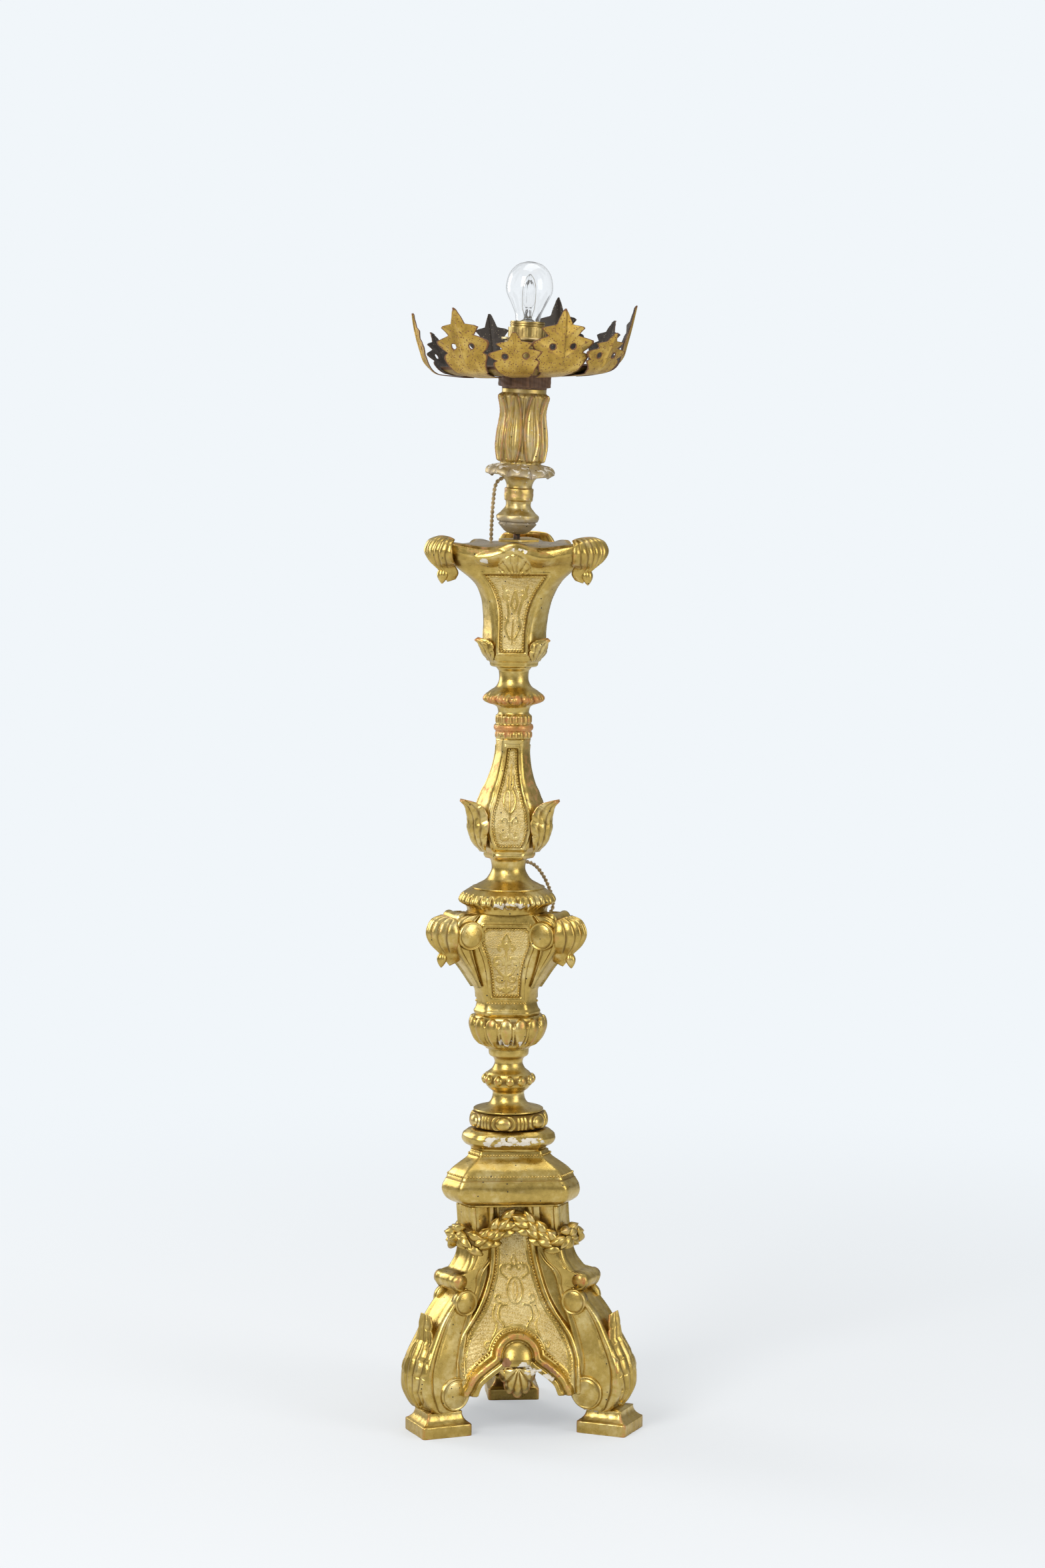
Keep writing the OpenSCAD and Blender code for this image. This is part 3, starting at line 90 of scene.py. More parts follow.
class Field:
    # a node's output that can be reckoned with: each sign adds one Math node, and | is the greater of two
    def __init__(self, socket):
        self.socket, self.tree = socket, socket.id_data

    def sign(operation, turned=False):
        # one Math node of this kind, with the two sides changed over if turned
        def reckon(self, other):
            # this output and another value or output, in one node
            pair = (other, self) if turned else (self, other)
            return addNode(self.tree, "Math", dict(enumerate(pair)), operation=operation)
        return reckon

    __add__, __radd__ = sign("ADD"), sign("ADD", True)
    __sub__, __rsub__ = sign("SUBTRACT"), sign("SUBTRACT", True)
    __mul__, __rmul__ = sign("MULTIPLY"), sign("MULTIPLY", True)
    __or__, __lt__, __gt__ = sign("MAXIMUM"), sign("LESS_THAN"), sign("GREATER_THAN")

    def clamped(self):
        # the same value held between nothing and one
        self.socket.node.use_clamp = True
        return self

    def ease(self, low, high):
        # nothing below low, one above high, and a smooth step between
        return addNode(self.tree, "MapRange", {0: self, 1: low, 2: high, 3: 0.0, 4: 1.0}, interpolation_type="SMOOTHSTEP")

    def mix(self, a, b):
        # colour a where the value is nothing, colour b where it is one
        return addNode(self.tree, "Mix", {0: self, 6: a, 7: b}, 2, data_type="RGBA")


def flow(table, x):
    # smooth curve through [place, value] rows: cubic pieces whose slopes never overshoot
    t = np.asarray(table, float)
    px, py = t[:, 0], t[:, 1]
    h = np.diff(px)
    d = np.diff(py) / h
    m = np.zeros(len(px))
    m[0], m[-1] = d[0], d[-1]
    same = d[:-1] * d[1:] > 0
    w1, w2 = 2 * h[1:] + h[:-1], h[1:] + 2 * h[:-1]
    with np.errstate(divide="ignore", invalid="ignore"):
        m[1:-1] = np.where(same, (w1 + w2) / (w1 / d[:-1] + w2 / d[1:]), 0)
    x = np.clip(np.asarray(x, float), px[0], px[-1])
    i = np.clip(np.searchsorted(px, x, side="right") - 1, 0, len(h) - 1)
    u = (x - px[i]) / h[i]
    return ((1 + 2 * u) * (1 - u) ** 2 * py[i] + u * (1 - u) ** 2 * h[i] * m[i]
            + u * u * (3 - 2 * u) * py[i + 1] + u * u * (u - 1) * h[i] * m[i + 1])


def smoothLine(points, n=4):
    # cubic line through points, its slope at each set by the two beside it, n steps between each two
    p = np.asarray(points, float)
    q = join([p[:1], p, p[-1:]])
    t = np.arange(n)[None, :, None] / n
    a, b, c, d = (q[k:len(q) - 3 + k][:, None, :] for k in range(4))
    line = 0.5 * (2 * b + (c - a) * t + (2 * a - 5 * b + 4 * c - d) * t ** 2 + (3 * b - a - 3 * c + d) * t ** 3)
    return join([line.reshape(-1, p.shape[1]), p[-1:]])


def lengthOf(line):
    # the sum of the distances from each point to the next
    return np.linalg.norm(np.diff(line, axis=0), axis=1).sum()


def resample(line, count):
    # the same line with count evenly spaced points
    along = np.r_[0, np.cumsum(np.linalg.norm(np.diff(line, axis=0), axis=1))]
    at = np.linspace(0, along[-1], count)
    return np.stack([np.interp(at, along, line[:, k]) for k in range(line.shape[1])], 1)


def unit(vectors):
    # each vector over its own length
    return vectors / np.linalg.norm(vectors, axis=-1, keepdims=True)


def tangents(line):
    # unit vectors along a line, from the difference of neighbours
    return unit(np.gradient(line, axis=0))


def clip01(x):
    # held between nothing and one
    return np.clip(x, 0, 1)


def step(x, low, high):
    # 3u^2 - 2u^3, where u runs from 0 at low to 1 at high
    u = clip01((x - low) / (high - low))
    return u * u * (3 - 2 * u)


def ridge(x, middle, width, power=2):
    # one at its middle, dying away as e to the minus (distance / width) to a power
    return np.exp(-((x - middle) / width) ** power)


def dome(share):
    # root of (1 - share), for round-topped forms whose share is a squared distance
    return np.sqrt(np.clip(1 - share, 0, 1))


def wrapAngle(a):
    # the same angle brought within half a turn of zero
    return (a + pi) % (2 * pi) - pi


def spans(count, a, middle=0.0):
    # the place across its own repeat, from -0.5 to 0.5, of each bearing round count repeats
    return wrapAngle((a + middle) * count) / (2 * pi)


def bearings(count):
    # angles of equal steps round a full turn
    return 2 * pi * np.arange(count) / count


def rising(count):
    # a column of equal steps from nothing to one
    return np.linspace(0, 1, count)[:, None]


def across(count):
    # a row of equal steps from minus one to one
    return np.linspace(-1, 1, count)[None, :]


def xyz(x, y, z):
    # points from three coordinates that are laid out to one shape
    return np.stack(np.broadcast_arrays(x, y, z), -1)


def gridFaces(rows, columns, around, shut=False):
    # squares between neighbours of a grid; around joins its columns to a ring, shut joins its rows
    j, i = np.meshgrid(np.arange(rows if shut else rows - 1), np.arange(columns if around else columns - 1), indexing="ij")
    i2, j2 = (i + 1) % columns, (j + 1) % rows
    return np.stack([j * columns + i, j * columns + i2, j2 * columns + i2, j2 * columns + i], -1).reshape(-1, 4)


def outward(points, faces):
    # a closed surface has a positive volume when its faces point outwards
    a, b, c, d = (points[faces[:, k]] for k in range(4))
    volume = np.einsum("ij,ij->", a, np.cross(b, c) + np.cross(c, d))
    return faces if volume > 0 else faces[:, ::-1]


def makePiece(name, parts, material, nodes=(), body="stand"):
    # parts hold points in mm, faces and marks; they are shells of one mesh, and each mark is an attribute of it
    points, faces, start = [], [], 0
    every = {key: [] for part in parts for key in part[2]}
    for p, f, marks in parts:
        points.append(p)
        faces += (outward(p, f) + start).tolist()
        start += len(p)
        for key in every:
            every[key].append(np.broadcast_to(np.ravel(marks.get(key, 0.0)), (len(p),)))
    verts = join(points) * 0.001
    mesh = bpy.data.meshes.new(name)
    mesh.from_pydata(verts.tolist(), [], [[v for k, v in enumerate(f) if v != f[k - 1]] for f in faces])
    mesh.polygons.foreach_set("use_smooth", np.ones(len(mesh.polygons), bool))
    every = {key: join(values) for key, values in every.items()}
    for key, values in spotMarks(verts).items():
        every[key] = np.maximum(values, every.get(key, 0))
    for key, values in every.items():
        mesh.attributes.new(key, "FLOAT", "POINT").data.foreach_set("value", values.astype(np.float32))
    piece = bpy.data.objects.new(name, mesh)
    bpy.context.scene.collection.objects.link(piece)
    mesh.materials.append(material)
    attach(piece, body)
    if nodes:
        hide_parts(*nodes)
    return piece


def spread(marks, shape, last):
    # lays each mark out over a grid and adds the values that last() gives for the points after it
    laid = {key: np.broadcast_to(values, shape) for key, values in marks.items()}
    return {key: join([values.ravel(), last(values)]) for key, values in laid.items()}


def capped(grid, marks={}):
    # a grid of rings shut by a fan at each end
    rows, columns = grid.shape[:2]
    points = join([grid.reshape(-1, 3), grid[0].mean(0)[None], grid[-1].mean(0)[None]])
    i = np.arange(columns)
    k = (i + 1) % columns
    low, top, last = rows * columns, rows * columns + 1, (rows - 1) * columns
    ends = [np.stack([np.full(columns, low), k, i, i], 1), np.stack([np.full(columns, top), last + i, last + k, last + k], 1)]
    marks = spread(marks, (rows, columns), lambda v: [v[0].mean(), v[-1].mean()])
    return points, join([gridFaces(rows, columns, True)] + ends), marks


def bored(grid, hole, marks={}):
    # an outer skin of rings joined to a bore on the rod's axis
    columns = grid.shape[1]
    start = np.arctan2(grid[0, 0, 1], grid[0, 0, 0])
    a = bearings(columns) + (start if abs(start) < 1 else 0)
    ring = lambda z: xyz(hole * np.cos(a), hole * np.sin(a), z)
    both = join([grid, [ring(grid[-1, :, 2].mean())], [ring(grid[0, :, 2].mean())]])
    marks = spread(marks, grid.shape[:2], lambda v: join([v[-1], v[0]]))
    return both.reshape(-1, 3), gridFaces(len(both), columns, True, True), marks


def looped(grid, marks={}):
    # a grid that closes on itself both ways
    rows, columns = grid.shape[:2]
    return grid.reshape(-1, 3), gridFaces(rows, columns, True, True), spread(marks, (rows, columns), lambda v: [])


def slab(front, back, marks={}, behind={}):
    # a solid between two grids of equal size, closed along all four edges; behind gives the back's own marks
    rows, columns = front.shape[:2]
    n, i, j = rows * columns, np.arange(columns), np.arange(rows)
    faces = gridFaces(rows, columns, False)
    rim = join([i, j[1:] * columns + columns - 1, (rows - 1) * columns + i[-2::-1], j[-2:0:-1] * columns])
    after = np.roll(rim, -1)
    faces = join([faces, faces[:, ::-1] + n, np.stack([after, rim, rim + n, after + n], 1)])
    laid = {key: np.broadcast_to(values, (rows, columns)).ravel() for key, values in marks.items()}
    marks = {key: join([laid[key], np.full(n, behind[key]) if key in behind else laid[key]]) for key in laid}
    return join([front.reshape(-1, 3), back.reshape(-1, 3)]), faces, marks


def moved(part, how):
    # a part with its points changed and its faces and marks kept
    return how(part[0]), part[1], part[2]


def tubeAlong(line, radius, sides=8, marks={}):
    # a round section carried along a line; radius may change along it
    line = np.asarray(line, float)
    tangent = tangents(line)
    up = np.where(np.abs(tangent[:, 2:3]) > 0.9, [[0.0, 1, 0]], [[0, 0, 1.0]])
    side = unit(np.cross(tangent, up))
    for k in range(1, len(side)):
        if side[k] @ side[k - 1] < 0:
            side[k] *= -1
    return capped(ringsOn(line, radius, sides, side, np.cross(side, tangent)), marks)


def ringsOn(line, radius, sides, side, top):
    # middle + radius * (cos b * side + sin b * top) at each point of a line
    b = bearings(sides)[None, :, None]
    radius = np.broadcast_to(np.asarray(radius, float), (len(line),))[:, None, None]
    return line[:, None] + radius * (np.cos(b) * side[:, None] + np.sin(b) * top[:, None])


def ballMesh(columns=8, rows=4):
    # a unit ball of few faces, for pearls and berries
    t = pi * np.arange(1, rows)[:, None] / rows
    a = bearings(columns)
    points, faces, _ = capped(xyz(np.sin(t) * np.cos(a), np.sin(t) * np.sin(a), np.cos(t)))
    points[-2:] = [[0, 0, 1], [0, 0, -1]]
    return points, faces


def scatter(base, centres, radii, axes=None, marks={}):
    # copies of a small mesh at many places; axes holds a 3x3 frame for each copy
    points, faces = base[:2]
    count = len(points)
    radii = np.broadcast_to(np.asarray(radii, float), (len(centres),))[:, None, None]
    copies = points[None] if axes is None else np.einsum("nij,pj->npi", axes, points)
    copies = copies * radii + np.asarray(centres)[:, None]
    starts = count * np.arange(len(centres))[:, None, None]
    return copies.reshape(-1, 3), (faces[None] + starts).reshape(-1, 4), marks


view = {"focal": 6400 / 2352 * 36, "place": (0.0117, -5.0, 1.2885), "tilt": 6.0, "roll": 0.38}


def setUpCamera():
    # the picture's viewpoint: distance, height and tilt as fitted to the feet on the floor
    data = bpy.data.cameras.new("camera")
    data.sensor_fit, data.sensor_height, data.sensor_width, data.lens = "VERTICAL", 36, 24, view["focal"]
    data.clip_end = 60
    camera = bpy.data.objects.new("camera", data)
    bpy.context.scene.collection.objects.link(camera)
    down = Matrix.Rotation(math.radians(90 - view["tilt"]), 4, "X")
    camera.matrix_world = Matrix.Translation(view["place"]) @ down @ Matrix.Rotation(math.radians(view["roll"]), 4, "Z")
    bpy.context.scene.camera = camera
    bpy.context.scene.view_settings.view_transform = "Standard"


# each lamp: place in metres, width, watts
studio = {"lamps": {"key": (-1.7, -2.7, 2.5, 1.3, 80), "fill": (2.7, -1.9, 1.6, 1.5, 38), "top": (0.2, 0.3, 3.6, 1.6, 34),
                    "rim": (-2.4, 1.6, 1.6, 1.3, 34)},
          "aim": (0, 0, 0.75), "paper": "#F1F6FA", "air": 0.6, "walls": ("#8A8375", "#F4F6F8"), "floor": "#DADBDC", "floorSize": 30.0}


def seenDirectly(tree):
    # camera rays and rays through glass see the paper itself
    path = addNode(tree, "LightPath", out="Is Camera Ray")
    return path | Field(path.socket.node.outputs["Is Transmission Ray"])


def setUpStudio():
    # soft lamps round the stand, each a rectangle half as long again as it is wide
    for name, (x, y, z, size, power) in studio["lamps"].items():
        lamp = bpy.data.lights.new(name, "AREA")
        lamp.shape, lamp.size, lamp.size_y, lamp.energy = "RECTANGLE", size, size * 1.5, power
        lampObject = bpy.data.objects.new(name, lamp)
        lampObject.visible_camera = lampObject.visible_transmission = False
        bpy.context.scene.collection.objects.link(lampObject)
        lampObject.location = (x, y, z)
        lampObject.rotation_euler = (Vector(studio["aim"]) - Vector((x, y, z))).to_track_quat("-Z", "Y").to_euler()
    world = bpy.data.worlds.new("studioAir")
    bpy.context.scene.world = world
    world.use_nodes = True
    tree = world.node_tree
    tree.nodes.clear()
    # what gold reflects: pale walls high up, darker floor-level surroundings at the sides
    split = addNode(tree, "SeparateXYZ", {0: addNode(tree, "TexCoord", out="Generated")}, "Z")
    height = addNode(tree, "MapRange", {0: split, 1: -0.25, 2: 0.7, 3: 0.0, 4: 1.0})
    room = addNode(tree, "Background", {0: height.mix(*studio["walls"]), 1: studio["air"]})
    paper = addNode(tree, "Background", {0: studio["paper"], 1: 1.0})
    addNode(tree, "OutputWorld", {0: addNode(tree, "MixShader", {0: seenDirectly(tree), 1: room, 2: paper})})
    # the floor keeps the object's shadow, and away from the object it passes into the paper with no line between
    size = studio["floorSize"]
    mesh = bpy.data.meshes.new("floor")
    mesh.from_pydata([(-size, -size, 0), (size, -size, 0), (size, size, 0), (-size, size, 0)], [], [(0, 1, 2, 3)])
    floor = bpy.data.objects.new("floor", mesh)
    bpy.context.scene.collection.objects.link(floor)
    material = bpy.data.materials.new("paperFloor")
    material.use_nodes = True
    tree = material.node_tree
    tree.nodes.clear()
    matte = addNode(tree, "BsdfDiffuse", {0: studio["floor"]})
    glow = addNode(tree, "Emission", {0: studio["paper"], 1: 1.0})
    away = addNode(tree, "VectorMath", {0: addNode(tree, "TexCoord", out="Object")}, "Value", operation="LENGTH")
    fading = addNode(tree, "MapRange", {0: away, 1: 0.35, 2: 2.2, 3: 0.45, 4: 1.0}, interpolation_type="SMOOTHSTEP")
    addNode(tree, "OutputMaterial", {0: addNode(tree, "MixShader", {0: seenDirectly(tree) * fading, 1: matte, 2: glow})})
    mesh.materials.append(material)


setUpCamera()
setUpStudio()
print("camera, lamps and floor done")


class Finish:
    # a material in the making, read at the object's own coordinates
    def __init__(self, name):
        self.material = bpy.data.materials.new(name)
        self.material.use_nodes = True
        self.tree = self.material.node_tree
        self.tree.nodes.clear()
        self.at = self.add("TexCoord", out="Object")

    def add(self, kind, inputs=None, out=0, **settings):
        # one node in this material's tree
        return addNode(self.tree, kind, inputs, out, **settings)

    def mark(self, key):
        # an attribute of the mesh by its name
        return self.add("Attribute", out="Fac", attribute_name=key)

    def noise(self, scale, detail=4.0, roughness=0.6, stretch=None, **more):
        # fractal noise, drawn out along the axes if stretch is given
        at = self.add("Mapping", {"Vector": self.at, "Scale": stretch}) if stretch else self.at
        return self.add("TexNoise", {"Vector": at, "Scale": scale, "Detail": detail, "Roughness": roughness, **more})

    def cells(self, scale, randomness=1.0):
        # distance to the nearest of many scattered points
        return self.add("TexVoronoi", {"Vector": self.at, "Scale": scale, "Randomness": randomness}, "Distance")

    def done(self, inputs, relief=None):
        # relief is strength, distance in metres, and height
        if relief:
            strength, distance, height = relief
            bump = self.add("Bump", {"Strength": strength, "Distance": distance, "Height": height})
            inputs = {**inputs, "Normal": bump}
        self.add("OutputMaterial", {0: self.add("BsdfPrincipled", inputs)})
        return self.material


# colours of the gilding, among them a dark brown for dirt and painted shade in hollows and a pale painted glint for the
# punched ground
gold = {"deep": "#A88E4A", "mid": "#C3A75C", "high": "#DFCB8E", "paintedGlint": "#F3E8C4", "dirtAndShade": "#5B3D1B", "bole": "#A9502A",
        "boleRubbed": "#C57638", "tarnish": "#7E6D52", "silver": "#B9AF9A", "gesso": "#B9AE98", "gessoClean": "#E9E3D6",
        "wood": "#6B4527", "woodPale": "#A5774A", "hole": "#1A120B"}


def giltMaterial(name, wear=0.0, ageing=0.0, burnish=0.21):
    # water gilding on red clay and gesso: rubs to the clay on edges, chips to gesso and wood, dirt and painted shade in
    # hollows, a painted glint on punched ground
    f = Finish(name)
    punched = f.mark("punch")
    big, mid, fine = f.noise(22, 3), f.noise(130, 5, 0.65), f.noise(900, 4, 0.7)
    tone = f.add("ValToRGB", {0: big * 0.55 + mid * 0.45},
                 stops=[(0.34, gold["deep"]), (0.5, gold["mid"]), (0.66, gold["high"])])
    # dirt and painted shade: hollows marked as recess are darkened towards dark brown
    dirtAndShade = (f.mark("recess") + mid * 0.5).ease(0.55, 1.25)
    tone = (dirtAndShade * 0.75).mix(tone, gold["dirtAndShade"])
    # painted glint: the dots of the punched ground are painted paler than the plain leaf, as a highlight
    dots = f.cells(560.0, 0.5)
    tone = (dots.ease(0.2, 0.6) * punched * 0.25).mix(tone, gold["paintedGlint"])
    # clay shows where edges are rubbed, and in thin streaks where hands have worn it
    rub = (f.mark("edge") * 0.52 + (mid + wear)).ease(0.86, 1.1)
    rub = (rub * (fine.ease(0.42, 0.6) * 0.6 + 0.35)).clamped()
    tone = rub.mix(tone, big.mix(gold["bole"], gold["boleRubbed"]))
    # greyed, weathered leaf where asked for
    greyed = ((f.mark("dull") + ageing) + mid * 0.6).ease(0.62, 1.1)
    tone = greyed.mix(tone, fine.mix(gold["tarnish"], gold["silver"]))
    ragged = f.noise(110.0, 5.0, 0.6, Distortion=0.5)
    lost = (f.mark("gesso") + ragged * 0.9).ease(0.98, 1.0)
    bare = (f.mark("wood") + ragged * 0.9).ease(0.98, 1.0)
    # tiny chips down to gesso all over
    chip = f.cells(150.0) + fine * 0.25 < 0.19 + 0.12 * ageing
    lost = lost | chip * (big + ageing).ease(0.56, 0.7)
    tone = lost.mix(tone, ragged.mix(gold["gesso"], gold["gessoClean"]))
    tone = bare.mix(tone, f.noise(1.0, stretch=(400.0, 400.0, 40.0)).mix(gold["wood"], gold["woodPale"]))
    worms = f.cells(110.0)
    pick = f.add("SeparateColor", {0: Field(worms.socket.node.outputs["Color"])})
    hole = (worms < 0.095) * (pick + big > 1.02)
    tone = hole.mix(tone, gold["hole"])
    solid = lost | bare | hole
    metal = (1.0 - solid) * (1.0 - (rub | greyed) * 0.8)
    rough = (burnish + mid * 0.16 + ((dirtAndShade | rub) | (solid | punched)) * 0.24).clamped()
    # punched ground: tight round dots; hand-worked surface: slow waves and fine scratches
    height = dots.ease(0.15, 0.62) * punched * -0.85 + (mid * 0.5 + fine * 0.14)
    height = height - (lost | hole) * 0.5 - bare * 0.8
    return f.done({"Base Color": tone, "Metallic": metal, "Roughness": rough}, (0.55, 0.0011, height))


def woodMaterial(name, dark, pale, rough=0.7):
    # bare old softwood, brown with age, with grain along its length
    f = Finish(name)
    grain = f.noise(1.0, 6, 0.6, (300.0, 300.0, 22.0))
    tone = (grain * 0.7 + f.noise(45, 4) * 0.3).ease(0.35, 0.65).mix(dark, pale)
    return f.done({"Base Color": tone, "Roughness": rough}, (0.4, 0.0006, grain))


def ironMaterial(name):
    # forged iron, dark with rust bloom
    f = Finish(name)
    blot, fine = f.noise(160, 6, 0.7), f.noise(1400, 4, 0.7)
    rust = blot.ease(0.5, 0.64)
    tone = rust.mix(fine.mix("#2B2724", "#4A433C"), fine.mix("#5A3520", "#7C5233"))
    return f.done({"Base Color": tone, "Metallic": 0.8 - rust * 0.7, "Roughness": 0.55}, (0.5, 0.0005, blot + fine * 0.4))


def sheetMaterial(name):
    # gilt sheet iron: ochre gold with brown rust pin spots, dark where "inner" is marked, rusty at its edges
    f = Finish(name)
    inner = f.mark("inner")
    blot, mid, fine = f.noise(60, 5, 0.65), f.noise(240, 5, 0.7), f.noise(1100, 3, 0.7)
    tone = f.add("ValToRGB", {0: blot}, stops=[(0.3, "#9E7E38"), (0.5, "#BE9B48"), (0.7, "#D8BA69")])
    spots = f.cells(330.0)
    rust = (mid * 0.42 - spots).ease(-0.09, 0.0) | (f.mark("edge") + mid * 0.9).ease(0.84, 1.15)
    tone = rust.mix(tone, fine.mix("#5A371C", "#8A5A2E"))
    inside = (spots + fine * 0.2 < 0.235).mix(mid.mix("#1D1916", "#41362B"), "#9A8C73")
    tone = inner.mix(tone, inside)
    dull = rust | inner
    rough = dull * 0.2 + (0.33 + mid * 0.2)
    height = blot * 0.6 - rust * (fine * 0.4)
    return f.done({"Base Color": tone, "Metallic": 0.85 - dull * 0.75, "Roughness": rough}, (0.5, 0.0008, height))


def silkMaterial(name):
    # gold-brown silk braid over the two cores of the flex, dusty in its hollows
    f = Finish(name)
    braid = f.cells(1500.0, 0.3)
    tone = (braid * 0.4 + f.noise(120, 4)).ease(0.45, 0.95).mix("#C0A677", "#7D673F")
    return f.done({"Base Color": tone, "Roughness": 0.62, "Sheen Weight": 0.35, "Sheen Roughness": 0.4}, (0.6, 0.0004, braid))


def brassMaterial(name, tint="#C8B070", rough=0.28):
    # turned brass, hazed by handling, with fine lathe lines
    f = Finish(name)
    haze, lathe = f.noise(90, 5), f.noise(1.0, 2, 0.6, (30.0, 30.0, 2600.0))
    tone = haze.ease(0.42, 0.66).mix(tint, "#988150")
    return f.done({"Base Color": tone, "Metallic": 1.0, "Roughness": rough + haze * 0.22}, (0.25, 0.0002, lathe))


def glassMaterial(name, rough=0.0, haze=0.05):
    # clear blown glass with a little dust
    f = Finish(name)
    dust = f.noise(260, 5).ease(0.5, 0.75)
    return f.done({"Base Color": "#FEFEFE", "Roughness": rough + dust * haze, "Transmission Weight": 1.0, "IOR": 1.46})


def plasticMaterial(name, tint, rough=0.38):
    # moulded phenolic plastic, faintly mottled
    f = Finish(name)
    fine = f.noise(1500, 3)
    tone = f.noise(140, 5, 0.7).ease(0.4, 0.7).mix(tint, "#55392A")
    return f.done({"Base Color": tone, "Roughness": rough + fine * 0.1}, (0.2, 0.0002, fine))


gilt = giltMaterial("waterGildingOnWood")
giltWorn = giltMaterial("waterGildingRubbedToClay", wear=0.14)
giltGrey = giltMaterial("weatheredGildingOnCup", wear=0.12, ageing=0.31, burnish=0.3)
innerWood = woodMaterial("oldSoftwoodInside", "#3B2112", "#6E4023")
bandWood = woodMaterial("brownWoodBand", "#4A3222", "#7B5A40", 0.62)
iron = ironMaterial("forgedIron")
giltSheet = sheetMaterial("giltSheetIron")
silk = silkMaterial("twistedSilkFlex")
brass = brassMaterial("satinBrass")
paleBrass = brassMaterial("paleBrassFlange", "#D8C08A", 0.26)
clearGlass = glassMaterial("clearBulbGlass")
capsuleGlass = glassMaterial("quartzCapsuleGlass", 0.06, 0.15)
capMetal = brassMaterial("nickelledBulbCap", "#B9B6AC", 0.28)
plugPlastic = plasticMaterial("brownPhenolicPlug", "#3A2418")
print("materials done")


# how far the old stack has settled off its upright, in mm, by height
swayRows = np.array([[0, 8.6], [186.2, 6.7], [266, 1.3], [286, -1.3], [330, -2.2], [354, -2], [449, -3], [520, -6], [613, -6],
                     [640, -5], [684, -3], [758, -3], [817, 0.5], [942, 1], [1000, 5.5], [1049, 5.5]])


def sway(z):
    # how far the settled stack stands off the rod at a height, read between rows
    return np.interp(z, swayRows[:, 0], swayRows[:, 1])


lean = {"foot": (2.8, 0.0, 1051.5), "cup": 2.6, "pan": 3.9, "dish": 191.5}


def tilted(p, degrees, place):
    # turns points about the Y axis, then carries them to a place
    c, s = math.cos(math.radians(degrees)), math.sin(math.radians(degrees))
    return xyz(p[..., 0] * c + p[..., 2] * s, p[..., 1], p[..., 2] * c - p[..., 0] * s) + place


def leaned(p):
    # from the cup's own upright frame on to its leaning axis
    return tilted(p, lean["cup"], lean["foot"])


def tipped(p):
    # the pan's own tilt on its collar, in the cup's frame
    return leaned(tilted(p, -lean["pan"], (0, 0, lean["dish"])))


# losses seen in the photograph, and a few guessed ones out of sight: from and to in mm, and radius in mm
losses = {"gesso": [((-26, -46, 342), (24, -48, 344), 8), ((30, -42, 345), (38, -36, 344), 5), ((17, -86, 82), (52, -84, 70), 8),
                    ((-18, -58, 622), (26, -56, 622), 9), ((-10, -36, 461), (20, -36, 457), 6),
                    ((-36, -58, 1026), (-28, -57, 1020), 6), ((-10, -58, 1020), (7, -58, 1016), 5),
                    ((-8, -68, 1040), (12, -68, 1042), 5), ((46, -56, 1015), (52, -56, 1010), 5),
                    ((92, -78, 180), (100, -80, 186), 7), ((96, -66, 30), (112, -58, 30), 7),
                    ((-30, -62, 308), (34, -64, 312), 3), ((-58, 62, 1036), (-48, 66, 1036), 8),
                    ((30, 55, 622), (40, 48, 622), 8), ((52, 52, 342), (44, 58, 342), 8), ((80, 40, 120), (84, 44, 100), 8),
                    ((-60, -92, 26), (-52, -88, 26), 4)],
          "wood": [((-13, -88, 97), (-2, -86, 88), 6), ((44, -84, 82), (60, -84, 72), 5), ((-84, -12, 296), (-80, -18, 280), 7),
                   ((-64, 30, 300), (-66, 20, 290), 7)]}
lossDepth = {"gesso": 0.56, "wood": 0.64}


def spotMarks(verts):
    # each loss fades from full along its middle line to nothing at 1.7 times its radius
    found = {}
    for kind, places in losses.items():
        found[kind] = np.zeros(len(verts))
        for start, end, radius in places:
            along = np.subtract(end, start)
            share = clip01(((verts * 1000 - start) @ along) / (along @ along))[:, None]
            far = np.linalg.norm(verts * 1000 - start - share * along, axis=1) / radius
            found[kind] = np.maximum(found[kind], clip01(1.7 - far) * lossDepth[kind])
    return found


flex = {"diameter": 4.8, "twist": 10.5, "sides": 10, "step": 1.3, "coil": (-91.5, 200, 2.4), "coilInner": 14, "coilPitch": 5.4}
# each stretch: its points in mm, a direction off its line, what its far end meets, and how it lies
routes = {
    "upper": ([[-5.5, -1, 1124], [-10.5, -1.6, 1123.6], [-15.5, -2, 1122], [-20, -2, 1118.5], [-22.8, -1.6, 1112], [-24, -1, 1103],
               [-25, 0, 1093], [-25.8, 1, 1082], [-26.4, 1.6, 1071], [-26.8, 2, 1060], [-27, 2, 1050], [-27, 2, 1040]],
              (0, 1, 0), "object", "taut"),
    "bypass": ([[9.7, 10.5, 668], [14.5, 14, 668.8], [19.5, 17.6, 668.3], [25, 21.5, 665.5], [30.5, 25, 660.5], [35.5, 28, 653.5],
                [40, 31, 645.5], [43.5, 34, 637.5], [46.5, 37, 629], [48.5, 39.3, 621], [49, 40, 613.5], [47.2, 39, 607.5],
                [43, 36.4, 604.6], [37.5, 32.6, 604.6], [32, 28.8, 606], [27, 25, 607.8], [22, 21, 609]],
               (0, 1, 0), "object", "loose"),
    "tail": ([[-20, -12, 230], [-20, -12, 214], [-20, -11.5, 200], [-20.5, -9.5, 180], [-22.5, -5, 160], [-27, 2, 140],
              [-32.5, 11, 118], [-38.5, 20.5, 96], [-44, 30, 74], [-49, 39, 53], [-54, 48, 35], [-59, 58, 20], [-64, 69, 9],
              [-68, 81, 4], [-70.5, 94, 2.4], [-71, 110, 2.4], [-69.5, 128, 2.4], [-66, 146, 2.4], [-62, 163, 2.4],
              [-59.4, 178, 2.4], [-58.6, 190.4, 2.4], [-58.6, 195.2, 2.4]], (1, 0, 0), "object", "hanging")}


